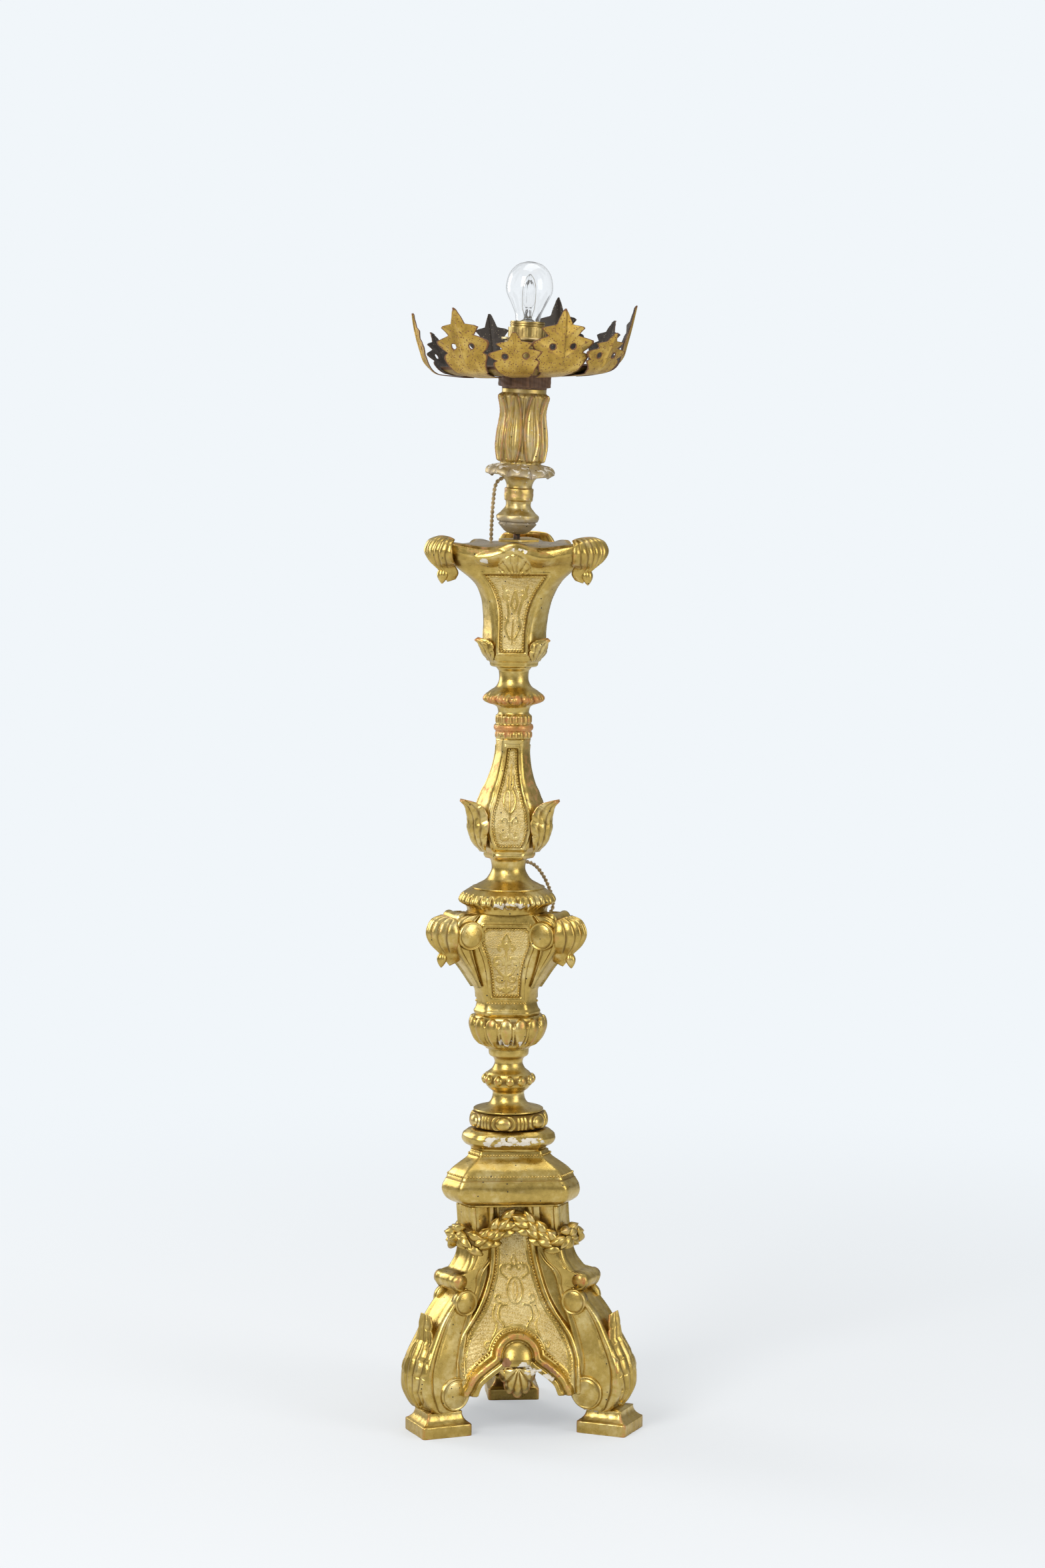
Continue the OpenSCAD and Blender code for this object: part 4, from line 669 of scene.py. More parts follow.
def coilRoute():
    # a spiral that runs in to its middle, climbs to a second layer and runs out again
    u = np.arange(-84, 85) / 24
    r, a = flex["coilInner"] + flex["coilPitch"] * np.abs(u), 2 * pi * (u + 3.5)
    loops = xyz(r * np.cos(a), r * np.sin(a), flex["coilPitch"] * clip01((u + 0.25) / 0.5)) + flex["coil"]
    return join([[loops[0] - [0, 4.8, 0]], loops, [loops[-1] + [0, 26.2, 0], loops[-1] + [0, 31, 0]]])


def flexParts(line, reference):
    # two strands wound round the route, half a twist apart: middle + quarter diameter * (cos turn, sin turn)
    length = lengthOf(line)
    path = resample(line, int(length / flex["step"]) + 2)
    tangent = tangents(path)
    side = unit(np.cross(tangent, np.broadcast_to(np.array(reference, float), tangent.shape)))
    top = np.cross(side, tangent)
    parts = []
    for half in (0, pi):
        turn = (2 * pi * np.linspace(0, length, len(path)) / flex["twist"] + half)[:, None]
        centre = path + flex["diameter"] / 4 * (np.cos(turn) * side + np.sin(turn) * top)
        parts.append(capped(ringsOn(centre, flex["diameter"] / 4, flex["sides"], side, top)))
    return parts, path, length


def makeTie():
    # a tape round the coil's turns on its left; outlines are [inwards from the coil's middle, height]
    outline = np.array([[11.2, 0.3], [11.2, 10.6], [13, 11.2], [35, 11.2], [36.6, 10.4], [36.6, 0.6], [35, 0.05], [13, 0.05]])
    x, z = resample(smoothLine(join([outline, outline[:1]]), 6), 60)[:-1].T
    edges = ((1, 1, -3.2), (1.012, 1.05, -3.2), (1.012, 1.05, 3.2), (1, 1, 3.2))
    grid = np.stack([xyz(flex["coil"][0] - x * wide, flex["coil"][1] + y, np.maximum(z * high, 0.02)) for wide, high, y in edges])
    return makePiece("coilTie", [looped(grid)], silk)


def makeFlexes():
    # each run is a pair of cores twisted along a smooth line; all are made first and then their lengths are printed
    made = []
    for name, (points, reference, far, lay) in {**routes, "coil": (coilRoute(), (0, 0, 1), "plug", "coiled")}.items():
        coil = name == "coil"
        parts, path, length = flexParts(smoothLine(points, 3 if coil else 6), reference)
        piece = makePiece("flexCoil" if coil else name + "Flex", parts, silk, ["flex_coil" if coil else name + "_flex"])
        made.append((name, piece, path, length, far, lay))
    tie = makeTie()
    for name, piece, path, length, far, lay in made:
        print("cord", name, round(length, 1), "mm")


makeFlexes()
print("cords done")

stackBore = 9.5


def turnedGrid(line, columns, rows, relief=None):
    # rings of a turned outline; relief(bearing, share along the outline, height) pushes points along its normal
    line = resample(np.asarray(line, float), rows)
    a = bearings(columns)[None, :]
    tangent = tangents(line)
    s, flat = rising(rows), np.zeros((rows, columns))
    push, marks = relief(a + flat, s + flat, line[:, 1:] + flat) if relief else (flat, {})
    r = line[:, :1] + tangent[:, 1:] * push
    z = line[:, 1:] - tangent[:, :1] * push
    return xyz(r * np.cos(a), r * np.sin(a), z), marks


def waviness(grid):
    # slow unevenness of hand work, from a few sine waves, between zero and one
    x, y, z = (grid[..., k] * 0.12 for k in range(3))
    return 0.5 + 0.25 * np.sin(x * 1.3 + 2 * np.sin(z * 0.9)) + 0.25 * np.sin(y * 1.7 + z * 0.6 + 1.5 * np.sin(x))


def stackPiece(name, node, line, columns, rows, relief=None, material=gilt):
    # a turned piece of the column: its outside has settled off the rod, its bore has not
    grid, marks = turnedGrid(line, columns, rows, relief)
    grid = grid + [float(sway((grid[..., 2].min() + grid[..., 2].max()) / 2)), 0, 0]
    makePiece(name, [bored(grid, stackBore, marks if relief else {"recess": 0.25 * waviness(grid)})], material, [node])


def eggRelief(a, s, z):
    # six ovals with a rim each, and three upright reeds between neighbours
    u, v = spans(6, a, pi / 2 + math.radians(8)), (s - 0.5) / 0.5
    oval = (u / 0.2) ** 2 + (v / 0.72) ** 2
    rim = ridge(np.sqrt(oval), 1.42, 0.15) * 1.7 * step(0.95 - np.abs(v), 0, 0.25)
    reeds = np.cos((np.abs(u) - 0.5) * 2 * pi * 5.2) ** 2 * 1.5
    reeds = reeds * step(np.abs(u), 0.335, 0.365) * step(0.9 - np.abs(v), 0, 0.3)
    lift = np.maximum(np.maximum(dome(oval) * 3.4, rim), reeds)
    return lift - 1.8, {"recess": 1 - step(lift, 0.0, 0.7), "edge": step(lift, 1.0, 3.2) * 0.7}


def gadroonRelief(a, s, z):
    # fifteen drops, wide and round at the top, pointed at the foot, with a thin dart between neighbours
    u = spans(15, a, pi / 2 + 0.04)
    body = step(s, 0.1, 0.24) * step(0.97 - s, 0, 0.1)
    half = (0.17 + 0.25 * step(s, 0.1, 0.62)) * np.sqrt(clip01((0.95 - s) / 0.12))
    drop = dome((u / np.maximum(half, 0.001)) ** 2) * 4.0
    dart = dome(((np.abs(u) - 0.5) / 0.075) ** 2) * 2.4 * step(0.8 - s, 0, 0.12)
    lift = np.maximum(drop, dart) * body
    return lift - 2.2 * body, {"recess": (1 - step(lift, 0.1, 1.5)) * body, "edge": step(lift, 2.8, 4.0) * 0.8}


def beadRelief(a, s, z):
    # twelve round beads sit in a groove round the torus
    u, v = spans(12, a, pi / 2 - 0.07) * 15.3, z - 412
    groove = ridge(v, 0, 6.2, 4) * (z > 396) * (z < 424)
    bead = dome((u / 5.9) ** 2 + (v / 6.2) ** 2)
    return bead * 4.4 - groove * 2.2, {"recess": groove * (1 - step(bead, 0.1, 0.5)), "edge": step(bead, 0.75, 1.0)}


def collarRelief(a, s, z):
    # twenty-two hanging tongues, hollowed along their middles, with cut ends under the collar's edge
    u = spans(22, a, 0.05)
    reach = step(s, 0.12, 0.3) * step(0.8 - s, 0, 0.16)
    tongue = dome((u / 0.46) ** 2) * 4.8
    drop = (tongue - ridge(u, 0, 0.2) * 2.6) * reach
    return drop - 2.8 * reach, {"recess": reach * (1 - step(tongue, 0.6, 3.2)), "edge": reach * step(tongue, 3.8, 4.7) * 0.6}


def skirtRelief(a, s, z):
    # ring of small tongues, a plain torus, a second ring, and a skirt of curled leaves
    z = z - 817
    rings = ridge(z, 5, 4.2, 4) + ridge(z, 23, 4.8, 4)
    tongues = np.abs(np.cos(wrapAngle(a * 17 + 0.3) / 2)) ** 0.7 * 2.0 - 1.2
    v = wrapAngle(a * 13 + 0.8 * np.sin(z * 0.16)) / (2 * pi)
    skirt = ridge(z, 47, 6.2, 4)
    leaf = dome((v / 0.44) ** 2) * 2.9 - ridge(v, 0, 0.1) * 1.3 - 1.2
    return rings * tongues + skirt * leaf, {"recess": rings * step(-tongues, -0.2, 1.1) + skirt * step(-leaf, -0.3, 1.0),
                                            "edge": clip01(0.95 * ridge(z, 13, 4.4, 4) + 0.75 * skirt + 0.6 * rings)}


def makeTurned():
    # outlines are [distance from the rod, height] in mm, or shares of a radius and a height
    egg = smoothLine([[42.5, 354], [45.5, 356.5], [47, 361], [46.6, 366.5], [44.4, 372], [41.6, 375]], 8)
    stackPiece("eggRing", "egg_ring", egg, 480, 34, eggRelief)
    line = join([smoothLine([[0.97, 0.03], [0.84, 0.05], [0.62, 0.085], [0.5, 0.15], [0.45, 0.25], [0.465, 0.3], [0.54, 0.335]], 5),
                 smoothLine([[0.555, 0.34], [0.6, 0.37], [0.69, 0.43], [0.725, 0.5], [0.69, 0.56], [0.6, 0.61]], 6),
                 smoothLine([[0.56, 0.625], [0.47, 0.67], [0.4, 0.76], [0.44, 0.84], [0.54, 0.88], [0.57, 0.92], [0.575, 1]], 5)])
    line = join([[[41.5, 375], [41.5, 376.5]], line * [41.5, 74] + [0, 375]])
    stackPiece("beadedBaluster", "lower_baluster", line, 240, 116, beadRelief)
    cup = smoothLine([[0.58, 0], [0.6, 0.035], [0.68, 0.09], [0.8, 0.21], [0.9, 0.34], [0.985, 0.57], [1, 0.74], [0.95, 0.91],
                      [0.85, 1]], 6) * [45, 41] + [0, 449]
    stackPiece("gadroonCup", "gadroon_cup", cup, 360, 60, gadroonRelief)
    collar = smoothLine([[0.83, 0], [0.84, 0.14], [0.88, 0.28], [0.96, 0.38], [1, 0.46], [0.98, 0.62], [0.91, 0.8], [0.82, 0.93],
                         [0.77, 1]], 6) * [57, 27] + [0, 613]
    stackPiece("gadroonCollar", "gadroon_collar", collar, 396, 50, collarRelief)
    waist = smoothLine([[0.93, 0.07], [0.84, 0.13], [0.66, 0.25], [0.56, 0.38], [0.465, 0.62], [0.49, 0.9], [0.56, 1]], 8)
    stackPiece("waistedNeck", "waisted_neck", join([[[43, 640], [43, 641.6]], waist * [43, 36] + [0, 640]]), 128, 60)
    line = join([[[19.3, 0], [20.8, 1.2], [21.3, 2.4], [21.3, 6.8], [20.4, 8.4]],
                 smoothLine([[21, 9.2], [22.8, 11], [23.4, 13.2], [22.8, 16], [20.8, 17.6]], 6),
                 [[20.4, 18.4], [20.9, 19.4], [20.9, 26.8], [19, 29]],
                 smoothLine([[18, 31], [19.6, 37], [24, 40.5], [31.7, 44], [35.2, 47], [33.2, 51.5], [28.2, 56.5], [21.5, 61],
                             [18, 67], [17.2, 73], [17.8, 80]], 6), [[20.5, 83.5], [20.5, 85]]]) + [0, 817]
    stackPiece("tonguedBaluster", "upper_baluster", line, 280, 150, skirtRelief, giltWorn)
    print("turned pieces done")


makeTurned()
faceMiddles = np.radians([30, 150, 270])


def outlineR(a, face, corner, hardness=14):
    # rounded six-sided outline: long faces at 30, 150 and 270 degrees, cut corners between them
    total = 0
    for k in range(6):
        total = total + (np.maximum(0, np.cos(a - math.radians(30 + 60 * k))) / (corner if k % 2 else face)) ** hardness
    return total ** (-1 / hardness)


def panelField(u, z, halfTable, z0, z1):
    # distance inwards from the edge of a panel whose half width follows a table up its height
    heights = np.linspace(z0, z1, 60)
    slope = np.gradient(flow(halfTable, heights), heights)
    sideways = (flow(halfTable, z) - np.abs(u)) * np.interp(z, heights, 1 / np.sqrt(1 + slope ** 2))
    return np.minimum(sideways, np.minimum(z - z0, z1 - z))


def panelOutline(halfTable, z0, z1, inset, pitch):
    # points along a panel's edge, inset from it and evenly spaced
    z = np.linspace(z0 + inset, z1 - inset, 90)
    right = np.stack([flow(halfTable, z) - inset, z], 1)
    loop = join([right, right[::-1] * [-1, 1], right[:1]])
    return resample(loop, max(8, int(lengthOf(loop) / pitch)))[:-1]


def nearLine(u, z, line):
    # distance from each point to a drawn line
    a, ab = line[:-1], line[1:] - line[:-1]
    long = (ab ** 2).sum(1)
    p = np.stack([np.ravel(u), np.ravel(z)], 1)
    t = np.clip(np.einsum("pk,sk->ps", p, ab) - (a * ab).sum(1), 0, long) / np.maximum(long, 1e-9)
    far = np.hypot(p[:, :1] - a[:, 0] - t * ab[:, 0], p[:, 1:] - a[:, 1] - t * ab[:, 1])
    return far.min(1).reshape(np.shape(u))


def curlLine(x, z, size, turns, start, hand=1):
    # a spiral scroll that winds in to its eye
    t = np.linspace(0, 1, 26)
    r, a = size * (1 - 0.85 * t), start + hand * 2 * pi * turns * t
    return np.stack([x + r * np.cos(a), z + r * np.sin(a)], 1)


def strokes(u, z, base, drawn):
    # how far each point lies inside any of the drawn strokes, on both halves, as a soft mask
    found = np.zeros(np.shape(u))
    for line, width in drawn:
        for side in (1, -1):
            found = np.maximum(found, 1 - step(nearLine(u * side, z - base, np.asarray(line, float)), width * 0.75, width * 1.1))
    return found


def loftGrid(rows, columns, count, reliefOf, turn=0.0, hardness=14, wave=None):
    # rows are [height, face, corner]; relief pushes straight out from the axis
    rows = np.asarray(rows, float)
    along = np.r_[0, np.cumsum(np.hypot(np.diff(rows[:, 0]), np.diff(rows[:, 1])))]
    at = np.linspace(0, along[-1], count)
    z, face, corner = (np.interp(at, along, rows[:, k])[:, None] for k in range(3))
    a = bearings(columns)[None, :]
    push, marks = reliefOf(a + 0 * z, z + 0 * a, face + 0 * a)
    rise = wave(a, z) if wave else 0.0
    r = outlineR(a, face, corner, hardness) + push + rise * 0.6
    return xyz(r * np.cos(a + turn) + sway(z), r * np.sin(a + turn), z + rise), marks


pearl = ballMesh(7, 4)


def pearlsOnFaces(outline, rows, lift, radius, turn=0.0):
    # pearls along a line of [across, height] points, on all three faces of a body
    u, z = outline.T
    face, corner = np.interp(z, rows[:, 0], rows[:, 1]), np.interp(z, rows[:, 0], rows[:, 2])
    spots = []
    for middle in faceMiddles:
        a = middle + np.arctan(u / face)
        r = outlineR(a, face, corner) + lift
        spots.append(xyz(r * np.cos(a + turn) + sway(z), r * np.sin(a + turn), z))
    return scatter(pearl, join(spots), radius, marks={"edge": 0.35})


def faceParts(a, face):
    # how far across the nearest face a bearing falls, in mm
    off = wrapAngle(a[..., None] - faceMiddles)
    nearest = np.abs(off).argmin(-1)[..., None]
    return face * np.tan(np.clip(np.take_along_axis(off, nearest, -1)[..., 0], -1.2, 1.2))


def framedRelief(panel, motif, band=3.2, rubbed=0.0):
    # a flat raised frame, a sunk ground inside it, and a smooth motif left standing on the punched ground
    def relief(a, z, face):
        # push outwards and marks at a bearing and height on one face
        u = faceParts(a, face)
        e = panelField(u, z, *panel)
        frame = step(e, -band - 1.2, -band) * (1 - step(e, -0.6, 0.5))
        drawn = motif(u, z) * step(e, 4.0, 5.0)
        edge = clip01(frame * 0.35 + rubbed * step(-e, band + 3, band + 10))
        return frame * 1.7 - step(e, 0, 1.3) * 2.0 + drawn * 0.6, {"recess": ridge(e, 0.6, 0.9) * 0.8, "edge": edge,
                                                                   "punch": step(e, 3.4, 4.4) * (1 - drawn)}
    return relief


def lowerMotif(u, z):
    # a lily on a stem between two scrolling branches
    return strokes(u, z, 490, [
        ([[0, 28], [0, 88]], 1.2), (smoothLine([[0, 82], [3, 86], [4, 92], [0, 99]], 4), 2.0),
        (curlLine(7, 82, 5.5, 0.8, pi, -1), 1.5), (curlLine(11, 66, 8, 0.9, pi * 1.1, -1), 1.8),
        (smoothLine([[0, 48], [7, 52], [12, 60], [19, 63]], 4), 1.5), (curlLine(8, 46, 6, 0.9, pi * 0.9), 1.4),
        (smoothLine([[3, 34], [8, 32], [11, 36]], 4), 1.3), (curlLine(0, 30, 4, 1, 0), 1.2)])


def pearMotif(u, z):
    # paired scrolls with a rising palmette
    return strokes(u, z, 676, [
        ([[0, 30], [0, 112]], 0.9), (curlLine(7, 30, 6.5, 0.9, pi), 1.8), (curlLine(7.5, 46, 5.5, 0.8, pi * 1.2, -1), 1.5),
        (smoothLine([[0, 54], [6, 62], [7, 74], [3, 84]], 4), 1.4), (smoothLine([[0, 78], [3.5, 88], [3, 98]], 4), 1.1)])


def bellMotif(u, z):
    # two long acanthus stems under a hanging drop
    return strokes(u, z, 902, [
        ([[0, 28], [0, 58]], 1.1), (smoothLine([[3, 34], [9, 48], [6, 64], [11, 84], [15, 96]], 5), 1.6),
        (curlLine(10, 84, 6, 0.8, pi * 0.6, -1), 1.5), (curlLine(8, 54, 5, 0.8, 0), 1.4),
        (smoothLine([[0, 66], [3.5, 76], [0, 90]], 4), 1.6)])


def refined(rows, times=5):
    # five rows read for each one given, at equal steps of height
    return np.stack([flow(rows[:, [0, k]], np.linspace(rows[0, 0], rows[-1, 0], len(rows) * times)) for k in range(3)], 1)


# rows are shares of [height, face, corner]; panels are half widths by height, and the heights of their two ends
lowerBody = {
    "rows": np.array([[0, 0.74, 0.86], [0.035, 0.78, 0.9], [0.07, 0.72, 0.85], [0.13, 0.7, 0.81], [0.21, 0.7, 0.85],
                      [0.285, 0.73, 0.94], [0.36, 0.78, 1.03], [0.44, 0.84, 1.12], [0.52, 0.9, 1.2], [0.6, 0.95, 1.27],
                      [0.68, 0.98, 1.32], [0.76, 1, 1.35], [0.89, 1, 1.35], [0.93, 0.98, 1.25], [1, 0.93, 1.1]]),
    "size": [123, 43, 43], "foot": 490, "panel": ([[515, 17], [540, 19], [560, 23], [578, 29], [589, 30], [596, 24]], 513, 598)}
pearBody = {
    "rows": np.array([[0, 0.72, 0.74], [0.03, 0.78, 0.8], [0.05, 0.74, 0.8], [0.1, 0.86, 0.96], [0.17, 0.94, 1.07],
                      [0.27, 1, 1.15], [0.38, 0.98, 1.13], [0.46, 0.93, 1.07], [0.52, 0.86, 0.97], [0.56, 0.81, 0.92],
                      [0.62, 0.7, 0.8], [0.69, 0.62, 0.69], [0.76, 0.55, 0.615], [0.83, 0.505, 0.56], [0.89, 0.48, 0.525],
                      [0.96, 0.49, 0.535], [1, 0.52, 0.54]]),
    "size": [141, 35.5, 35.5], "foot": 676,
    "panel": ([[692, 15], [700, 19], [716, 22], [730, 21], [748, 16], [770, 10.5], [790, 7.5], [806, 6.5]], 690, 807)}
bellBody = {
    "rows": np.array([[0, 0.38, 0.25], [0.015, 0.41, 0.27], [0.035, 0.41, 0.27], [0.05, 0.44, 0.3], [0.115, 0.5, 0.345],
                      [0.19, 0.51, 0.355], [0.28, 0.505, 0.36], [0.37, 0.505, 0.375], [0.46, 0.515, 0.4], [0.53, 0.53, 0.425],
                      [0.59, 0.555, 0.465], [0.64, 0.58, 0.51], [0.7, 0.63, 0.6], [0.76, 0.7, 0.73], [0.82, 0.8, 0.87],
                      [0.87, 0.92, 0.96], [0.92, 1, 1], [0.97, 0.99, 0.99], [0.985, 0.9, 0.92]]),
    "size": [147, 62, 98], "foot": 902, "columns": 340,
    "panel": ([[922, 15.5], [940, 15.5], [960, 16.5], [978, 20], [994, 27], [1010, 38]], 920, 1012),
    "lip": [[902, 0], [1015, 0], [1022.5, 1], [1030, 2.5], [1037, 4], [1044.6, 4.5], [1047, 3]]}
bellTurn = math.radians(-5)


def bodyRows(body):
    # rows as shares times the body's size, raised to its foot
    return refined(body["rows"] * body["size"] + [body["foot"], 0, 0])


def bodyPiece(name, node, grid, marks, pearls):
    # a body is bored for the rod and carries its pearls with it
    makePiece(name, [bored(grid, stackBore, marks)] + pearls, gilt, [node])


def bellRelief(a, z, face):
    # the panel, a small shell over it, two lobes hollowed out of each lip, and scattered rubbing
    push, marks = framedRelief(bellBody["panel"], bellMotif, 2.6)(a, z, face)
    u, v = faceParts(a, face), z - 1021
    shell = clip01(1 - (u / 19) ** 2 - np.where(v > 0, v / 12, v / 13) ** 2)
    ribs = 0.55 + 0.45 * np.abs(np.cos(np.arctan2(u, v + 16) * 9))
    lobes = 3.6 * dome(((np.abs(u) - 28) / 19) ** 2 + ((z - 1033) / 11) ** 2)
    marks["edge"] = clip01(marks["edge"] + step(z, 1030, 1044) * 0.8 + np.sqrt(shell) * 0.3)
    marks["recess"] = clip01(marks["recess"] + (shell > 0) * (ribs < 0.65) * 0.8)
    marks["dull"] = step(z, 1036, 1046) * 0.35 + 0.18 * ridge(u, 0, 20) * (z < 1012)
    return push + np.sqrt(shell) * ribs * 6.5 + lobes, marks


def bellLip(a, z):
    # the lip rises and falls by a cosine of six waves, deepest near the rim
    return np.cos(6 * (a - 1.5 * pi)) * flow(bellBody["lip"], z)


def bellTop(rim):
    # the top is a dusty, uneven dish round the block: rings that are shares of the rim's distance from it
    centre, tops = np.array([5.5, 0]), []
    for share, z in ((0.97, 1049.6), (0.93, 1047.6), (0.8, 1047.0), (0.6, 1047.8), (0.34, 1048.9), (0.16, 1049)):
        x, y = (centre + (rim[:, :2] - centre) * share).T
        uneven = 0.5 * np.sin(x * 0.2) * np.cos(y * 0.17) * (0.5 < share < 0.9)
        tops.append(xyz(x, y, z + (rim[:, 2] - 1049.6) * (share > 0.9) * 0.8 + uneven))
    return tops


def capRelief(a, z, face):
    # a slight unevenness, dirt and painted shade low down and rubbing near the top edge
    return 0.2 * np.sin(7 * a + z), {"recess": 0.2 * (z < 334) + 0.15, "edge": step(z, 338, 345) * 0.4}


def makeBodies():
    # the three carved bodies and the cap moulding, from the lowest up
    rows, panel = bodyRows(lowerBody), lowerBody["panel"]
    grid, marks = loftGrid(rows, 300, 110, framedRelief(panel, lowerMotif))
    foot = np.stack([np.linspace(-24, 24, 14), np.full(14, 506.0)], 1)
    pearls = [pearlsOnFaces(panelOutline(*panel, 2.4, 3.6), rows, -0.9, 1.4), pearlsOnFaces(foot, rows, 0.3, 1.4)]
    bodyPiece("lowerCapital", "lower_capital", grid, marks, pearls)
    rows, panel = bodyRows(pearBody), pearBody["panel"]
    grid, marks = loftGrid(rows, 270, 120, framedRelief(panel, pearMotif, 2.4, 0.8))
    bodyPiece("pearBody", "pear", grid, marks, [pearlsOnFaces(panelOutline(*panel, 2.2, 3.4), rows, -0.9, 1.3)])
    rows = bodyRows(bellBody)
    grid, marks = loftGrid(rows, bellBody["columns"], 136, bellRelief, bellTurn, wave=bellLip)
    tops = bellTop(grid[-1])
    dusty = {"dull": 0.75, "recess": 0.3}
    marks = {key: join([v, np.full((len(tops), v.shape[1]), dusty.get(key, 0.0))]) for key, v in marks.items()}
    pearls = pearlsOnFaces(panelOutline(*bellBody["panel"], 2.3, 3.5), rows, -0.9, 1.35, bellTurn)
    bodyPiece("bellCapital", "upper_capital", join([grid, tops]), marks, [pearls])
    height, width = np.array([[0, 0.8], [0.04, 0.805], [0.1, 0.81], [0.25, 0.92], [0.42, 0.985], [0.6, 1], [0.8, 0.97],
                              [0.94, 0.9], [1, 0.86]]).T
    rows = refined(np.stack([330 + height * 24, width * 45, width * 57], 1), 6)
    bodyPiece("capMoulding", "base_cap", *loftGrid(rows, 200, 40, capRelief, hardness=12), [])
    print("three-sided bodies done")


makeBodies()

base = {"turn": 5, "shift": 13.6, "foot": 117.5, "plinth": 28, "top": 266, "neck": 36, "post": 30, "archMid": -4, "panel": 13.5}
curlZ = base["plinth"] + 153
postR = base["neck"] + 31.5


def bearingOf(i, first, turn=0.0):
    # corners start at 210 degrees and faces at 270, a third of a turn apart
    return math.radians(first + 120 * (i - 1)) + turn


def placed(p, bearing, swayAt=None):
    # turns points given as out, across, up to a bearing, and shifts them with the settled stack
    c, s = math.cos(bearing), math.sin(bearing)
    z = p[..., 2]
    return xyz(p[..., 0] * c - p[..., 1] * s + sway(z if swayAt is None else swayAt), p[..., 0] * s + p[..., 1] * c, z)


def baseCorner(i):
    # bearing of a console
    return bearingOf(i, 210 + base["turn"])


def baseFace(i):
    # bearing of a board between two consoles
    return bearingOf(i, 270 + base["turn"])


plinth = {"line": [[31, 0], [31.2, 1.2], [31.2, 12.6], [30.4, 14.0], [27.5, 16], [24, 20], [22.2, 25], [22.2, 28]],
          "turns": (-12, 2, 0), "columns": 136}


def makePlinth(i):
    # a near-square of power 26 carried up a moulded line, with worn edges
    line = resample(smoothLine(plinth["line"], 5), 34)
    z = line[:, 1:]
    a = bearings(plinth["columns"])
    square = (np.abs(np.cos(a)) ** 26 + np.abs(np.sin(a)) ** 26) ** (-1 / 26)
    chip = 1 - 0.012 * np.abs(np.sin(a * 3 + i)) * np.abs(np.cos(a * 7 + 2 * i))
    r = line[:, :1] * square * chip
    where, turn = baseCorner(i), math.radians(plinth["turns"][i - 1])
    out = base["foot"] + base["shift"] * math.cos(where) + r * np.cos(a + turn)
    side = r * np.sin(a + turn) - base["shift"] * math.sin(where)
    c, s = math.cos(where), math.sin(where)
    marks = {"edge": clip01(step(square, 1.2, 1.38) * 0.9 + 0.5 * (z < 1.5)), "recess": 0.5 * ridge(z, 15, 2.5)}
    makePiece(f"plinth{i}", [capped(xyz(out * c - side * s, out * s + side * c, z), marks)], gilt, [f"plinth_{i}"])


# outlines of a console seen from the side, as [distance past the foot's middle, height over the plinth]
legFoot = np.array([[10, 0], [17, 4], [23, 13], [28, 24], [29, 36], [27, 52], [20, 70], [10, 89], [0, 108], [-13, 125],
                    [-26, 137]]) + [base["foot"], base["plinth"]]
f, p0, b0 = base["foot"], base["plinth"], base["top"]
legHead = [[f - 31, curlZ - 9], [f - 27, curlZ - 12], [f - 20, curlZ - 10], [f - 15.5, curlZ - 2], [f - 18, curlZ + 5],
           [f - 25, curlZ + 8], [f - 33, curlZ + 9], [f - 39, curlZ + 15], [postR + 5, b0 - 60], [postR + 1, b0 - 42],
           [postR, b0 - 22], [postR, b0]]
legInside = [[f - 16, p0], [f - 26, p0 + 5], [f - 33, p0 + 16], [f - 33, p0 + 30], [f - 29, p0 + 42], [f - 27, p0 + 55],
             [f - 29, p0 + 70], [f - 34, p0 + 88], [f - 40, p0 + 106], [f - 46, p0 + 122], [f - 51, p0 + 138],
             [f - 58, p0 + 158], [postR - 25, b0 - 62], [postR - base["post"], b0 - 44], [postR - base["post"], b0]]
legWidth = [[0, 24], [p0 + 20, 26], [p0 + 60, 25], [p0 + 95, 21], [p0 + 125, 20], [curlZ + 4, 19], [b0 - 45, 16], [b0, 16]]
# each volute: its middle out and up, radius, half width of the leg there, and the way it winds
volutes = ((f - 12, p0 + 20.8, 20.5, 26, -1), (f - 31, p0 + 127, 16, 21, 1))


def voluteDisc(x, z, radius, out, side, hand):
    # a smooth button with one sunk line inside its rim; height falls with the square of the radius
    around = 64
    rho = np.linspace(0, 1, 26)[1:, None]
    phi = bearings(around)[None, :]
    groove = ridge(rho, 0.8, 0.05) * (0.55 + 0.45 * np.cos(phi * hand + 0.6))
    high = 6.4 - 3.4 * rho ** 2 + 1.2 * ridge(rho, 0.9, 0.09) - 2.2 * step(rho, 0.92, 1.0) - 1.5 * groove
    r = join([rho + 0 * phi, np.ones((2, around))]) * radius
    high = join([high, np.array([0.0, -5.0])[:, None] + 0 * phi])
    plain = np.zeros((2, around))
    marks = {"recess": join([groove * 0.9, plain]), "edge": join([ridge(rho, 0.92, 0.07) * 0.6 + 0 * phi, plain])}
    return capped(xyz(x + r * np.cos(phi), side * (out + high), z + r * np.sin(phi)), marks)


